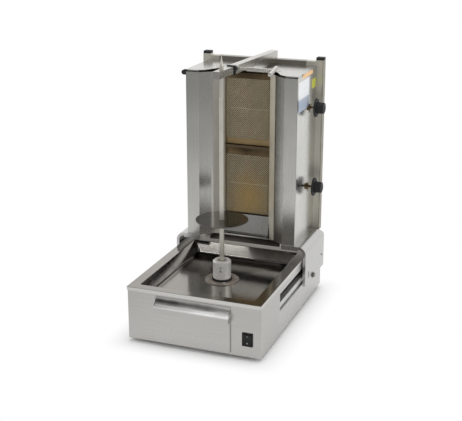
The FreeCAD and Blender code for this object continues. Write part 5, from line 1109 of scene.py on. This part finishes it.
@dataclass
class Studio:
    """Pale floor, soft lamps, even surroundings and the camera at the photograph's angle."""

    floor_size: float = 60.0
    floor_tone: float = 0.92
    foot: Spot = (0.215, 0.317, 10.0)
    shadow_reach: float = 0.08
    shadow_power: float = 0.6
    mirror_share: float = 0.95
    mirror_level: float = 0.88
    mirror_fall: float = 0.2
    mirror_rise: float = 0.1
    mirror_least: float = 0.25
    falls: tuple[tuple[str, float, float, float, float], ...] = (
        ("Y", -0.9, 0.2, 0.3, 1.0), ("Z", 0.45, 0.75, 1.0, 0.2), ("X", 0.1, 0.9, 1.0, 0.8))
    diffuse_share: float = 0.85
    azimuth: float = 20.77
    elevation: float = 18.20
    lens: float = 78.3
    sensor: float = 36.0
    reach: float = 100.0
    place: Spot = (1.0831, -2.8499, 1.3536)
    lamps: tuple[Lamp, ...] = (
        Lamp("key", (-1.15, -2.65, 3.05), 1.5, 0.25, 1.5),
        Lamp("band", (-1.0, -2.6, 2.35), 0.8, 0.1, 2.6),
        Lamp("side", (2.9, -0.6, 1.4), 1.6, 1.6, 9.0),
        Lamp("top", (0.1, 1.0, 3.2), 2.6, 2.6, 22.0),
    )

    def build(self) -> None:
        """Builds everything that isn't the grill."""
        self.floor()
        self.surroundings()
        for lamp in self.lamps:
            lamp.build()
        self.camera()

    def floor(self) -> None:
        """A large pale floor that shows white but keeps the grill's shadow."""
        shape = bmesh.new()
        bmesh.ops.create_grid(shape, x_segments=1, y_segments=1, size=self.floor_size / 2)
        mesh = bpy.data.meshes.new("floor")
        shape.to_mesh(mesh)
        shape.free()
        material = bpy.data.materials.new("pale_floor")
        bench = Bench.cleared(material)
        paint = bench.add("ShaderNodeBsdfDiffuse", {"Color": (self.floor_tone,) * 3 + (1.0,)})
        seen = bench.add("ShaderNodeLightPath").outputs["Is Camera Ray"]
        place = bench.place()
        size = bench.maths("ABSOLUTE", place, vectors=True)
        over = bench.maths("SUBTRACT", size, self.foot, vectors=True)
        past = bench.maths("MAXIMUM", over, (0.0, 0.0, 0.0), vectors=True)
        near = bench.stretch(bench.maths("LENGTH", past, vectors=True), 0.0, self.shadow_reach)
        sideways = bench.add("ShaderNodeSeparateXYZ", {0: size}).outputs["X"]
        back = bench.add("ShaderNodeSeparateXYZ", {0: place}).outputs["Y"]
        fallen = bench.maths("MULTIPLY_ADD", sideways, -self.mirror_fall, self.mirror_level)
        risen = bench.maths("MULTIPLY_ADD", back, self.mirror_rise, fallen)
        mirrored = bench.stretch(risen, self.mirror_least, 1.0, self.mirror_least, 1.0)
        glow = bench.add("ShaderNodeEmission", {"Color": (1.0, 1.0, 1.0, 1.0),
                                                "Strength": bench.maths("MAXIMUM", mirrored, seen)})
        clear = bench.stretch(seen, 0.0, 1.0, self.mirror_share, 1.0)
        wide = bench.maths("MULTIPLY", clear, bench.maths("POWER", near, self.shadow_power))
        share = bench.maths("MULTIPLY", self.background_rays(bench), wide)
        both = bench.add("ShaderNodeMixShader", {0: share, 1: paint.outputs[0], 2: glow.outputs[0]})
        bench.add("ShaderNodeOutputMaterial", {"Surface": both.outputs[0]})
        mesh.materials.append(material)
        set_out("floor", mesh)

    def background_rays(self, bench: Bench) -> NodeSocket:
        """1 for rays that see the background as such: from the camera, or by a mirror or glass."""
        light = bench.add("ShaderNodeLightPath").outputs
        direct = bench.maths("MAXIMUM", light["Is Camera Ray"], light["Is Glossy Ray"])
        return bench.maths("MAXIMUM", direct, light["Is Transmission Ray"])

    def surroundings(self) -> None:
        """An even pale world, dimmer overhead and on the camera's side, as a room round a lit sweep is."""
        world = bpy.data.worlds.new("studio")
        bpy.context.scene.world = world
        bench = Bench.cleared(world)
        way = bench.add("ShaderNodeTexCoord").outputs["Generated"]
        parts = bench.add("ShaderNodeSeparateXYZ", {0: way}).outputs
        level, *others = [bench.stretch(parts[axis], *ends) for axis, *ends in self.falls]
        for shade in others:
            level = bench.maths("MULTIPLY", level, shade)
        light = bench.add("ShaderNodeLightPath").outputs
        level = bench.maths("MAXIMUM", level, light["Is Camera Ray"])
        shaped = bench.maths("MULTIPLY", level, bench.stretch(light["Is Diffuse Ray"], 0.0, 1.0, 1.0, 0.0))
        strength = bench.maths("MULTIPLY_ADD", light["Is Diffuse Ray"], self.diffuse_share, shaped)
        sky = bench.add("ShaderNodeBackground", {"Color": (1.0, 1.0, 1.0, 1.0), "Strength": strength})
        bench.add("ShaderNodeOutputWorld", {"Surface": sky.outputs[0]})

    def camera(self) -> None:
        """The camera at the photograph's place, angle and lens."""
        lens = bpy.data.cameras.new("camera")
        lens.lens = self.lens
        lens.sensor_width = self.sensor
        lens.clip_end = self.reach
        camera = set_out("camera", lens)
        camera.location = self.place
        camera.rotation_euler = (math.radians(90.0 - self.elevation), 0.0, math.radians(self.azimuth))
        bpy.context.scene.camera = camera


class Grill:
    """The whole grill, in the order in which it is dressed."""

    coats: dict[Finish, str] = {
        Finishes.front: "base_shell",
        Finishes.drawer: "drawer_front",
        Finishes.side: "side_panel_left side_panel_right back_panel floor_plate drawer_pan",
        Finishes.tray: "drip_tray",
        Finishes.column: "cabinet_side_left",
        Finishes.shaded_column_right: "cabinet_side_right",
        Finishes.wall: "cabinet_top cabinet_back cabinet_floor",
        Finishes.reflector_left: "reflector_left",
        Finishes.reflector_right: "reflector_right",
        Finishes.bracket: "bracket_left bracket_right",
        Finishes.frame_tube: "frame_upright_left frame_upright_right",
        Finishes.cross_tube: "frame_crossbar",
        Finishes.arm: "arm_tube centre_bar clamp_screw",
        Finishes.turned: "drive_socket drive_shaft disc_pin arm_pin",
        Finishes.rod: "spit_rod",
        Finishes.disc: "meat_disc",
        Finishes.flange: "bearing_flange",
        Finishes.zinc: "flange_screws socket_screws slide_rails drawer_runners",
        Finishes.bolt: "bracket_bolts",
        Finishes.shield: "shield_plate",
        Finishes.dark_panel: "lower_panel",
        Finishes.box: "burner_box_upper burner_meshes",
        Finishes.box_lower: "burner_box_lower",
        Finishes.divider: "burner_divider",
        Finishes.ceramic: "ceramic_plaques",
        Finishes.brass: "gas_valves valve_stem_upper valve_stem_lower",
        Finishes.pipe: "gas_pipes",
        Finishes.paint: "gearbox gear_motor",
        Finishes.black: "knob_upper knob_lower frame_caps side_cap collar_insert slide_blocks cable_gland",
        Finishes.gloss_black: "switch_housing rocker",
        Finishes.rubber: "feet seal_ring",
        Finishes.white_plastic: "terminal_block",
    }

    def build(self) -> None:
        """Dresses the nodes and builds the pieces."""
        for finish, nodes in self.coats.items():
            dress_nodes(finish, *nodes.split())
        bare = sorted(set(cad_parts) - set(" ".join(self.coats.values()).split()))
        if bare:
            log.warning("nodes with no finish: %s", bare)
        Base("base").build()
        BurnerScreens("tower").build()
        Cabinet("tower").build()
        RearFrame("tower").build()
        for level in ("upper", "lower"):
            Knob(level + "_knob", level).build()


def main() -> None:
    """Builds the studio and the grill."""
    logging.basicConfig(level=logging.INFO, format="%(name)s: %(message)s")
    bpy.context.scene.view_settings.view_transform = "Standard"
    Studio().build()
    Grill().build()


if __name__ == "__main__":
    main()
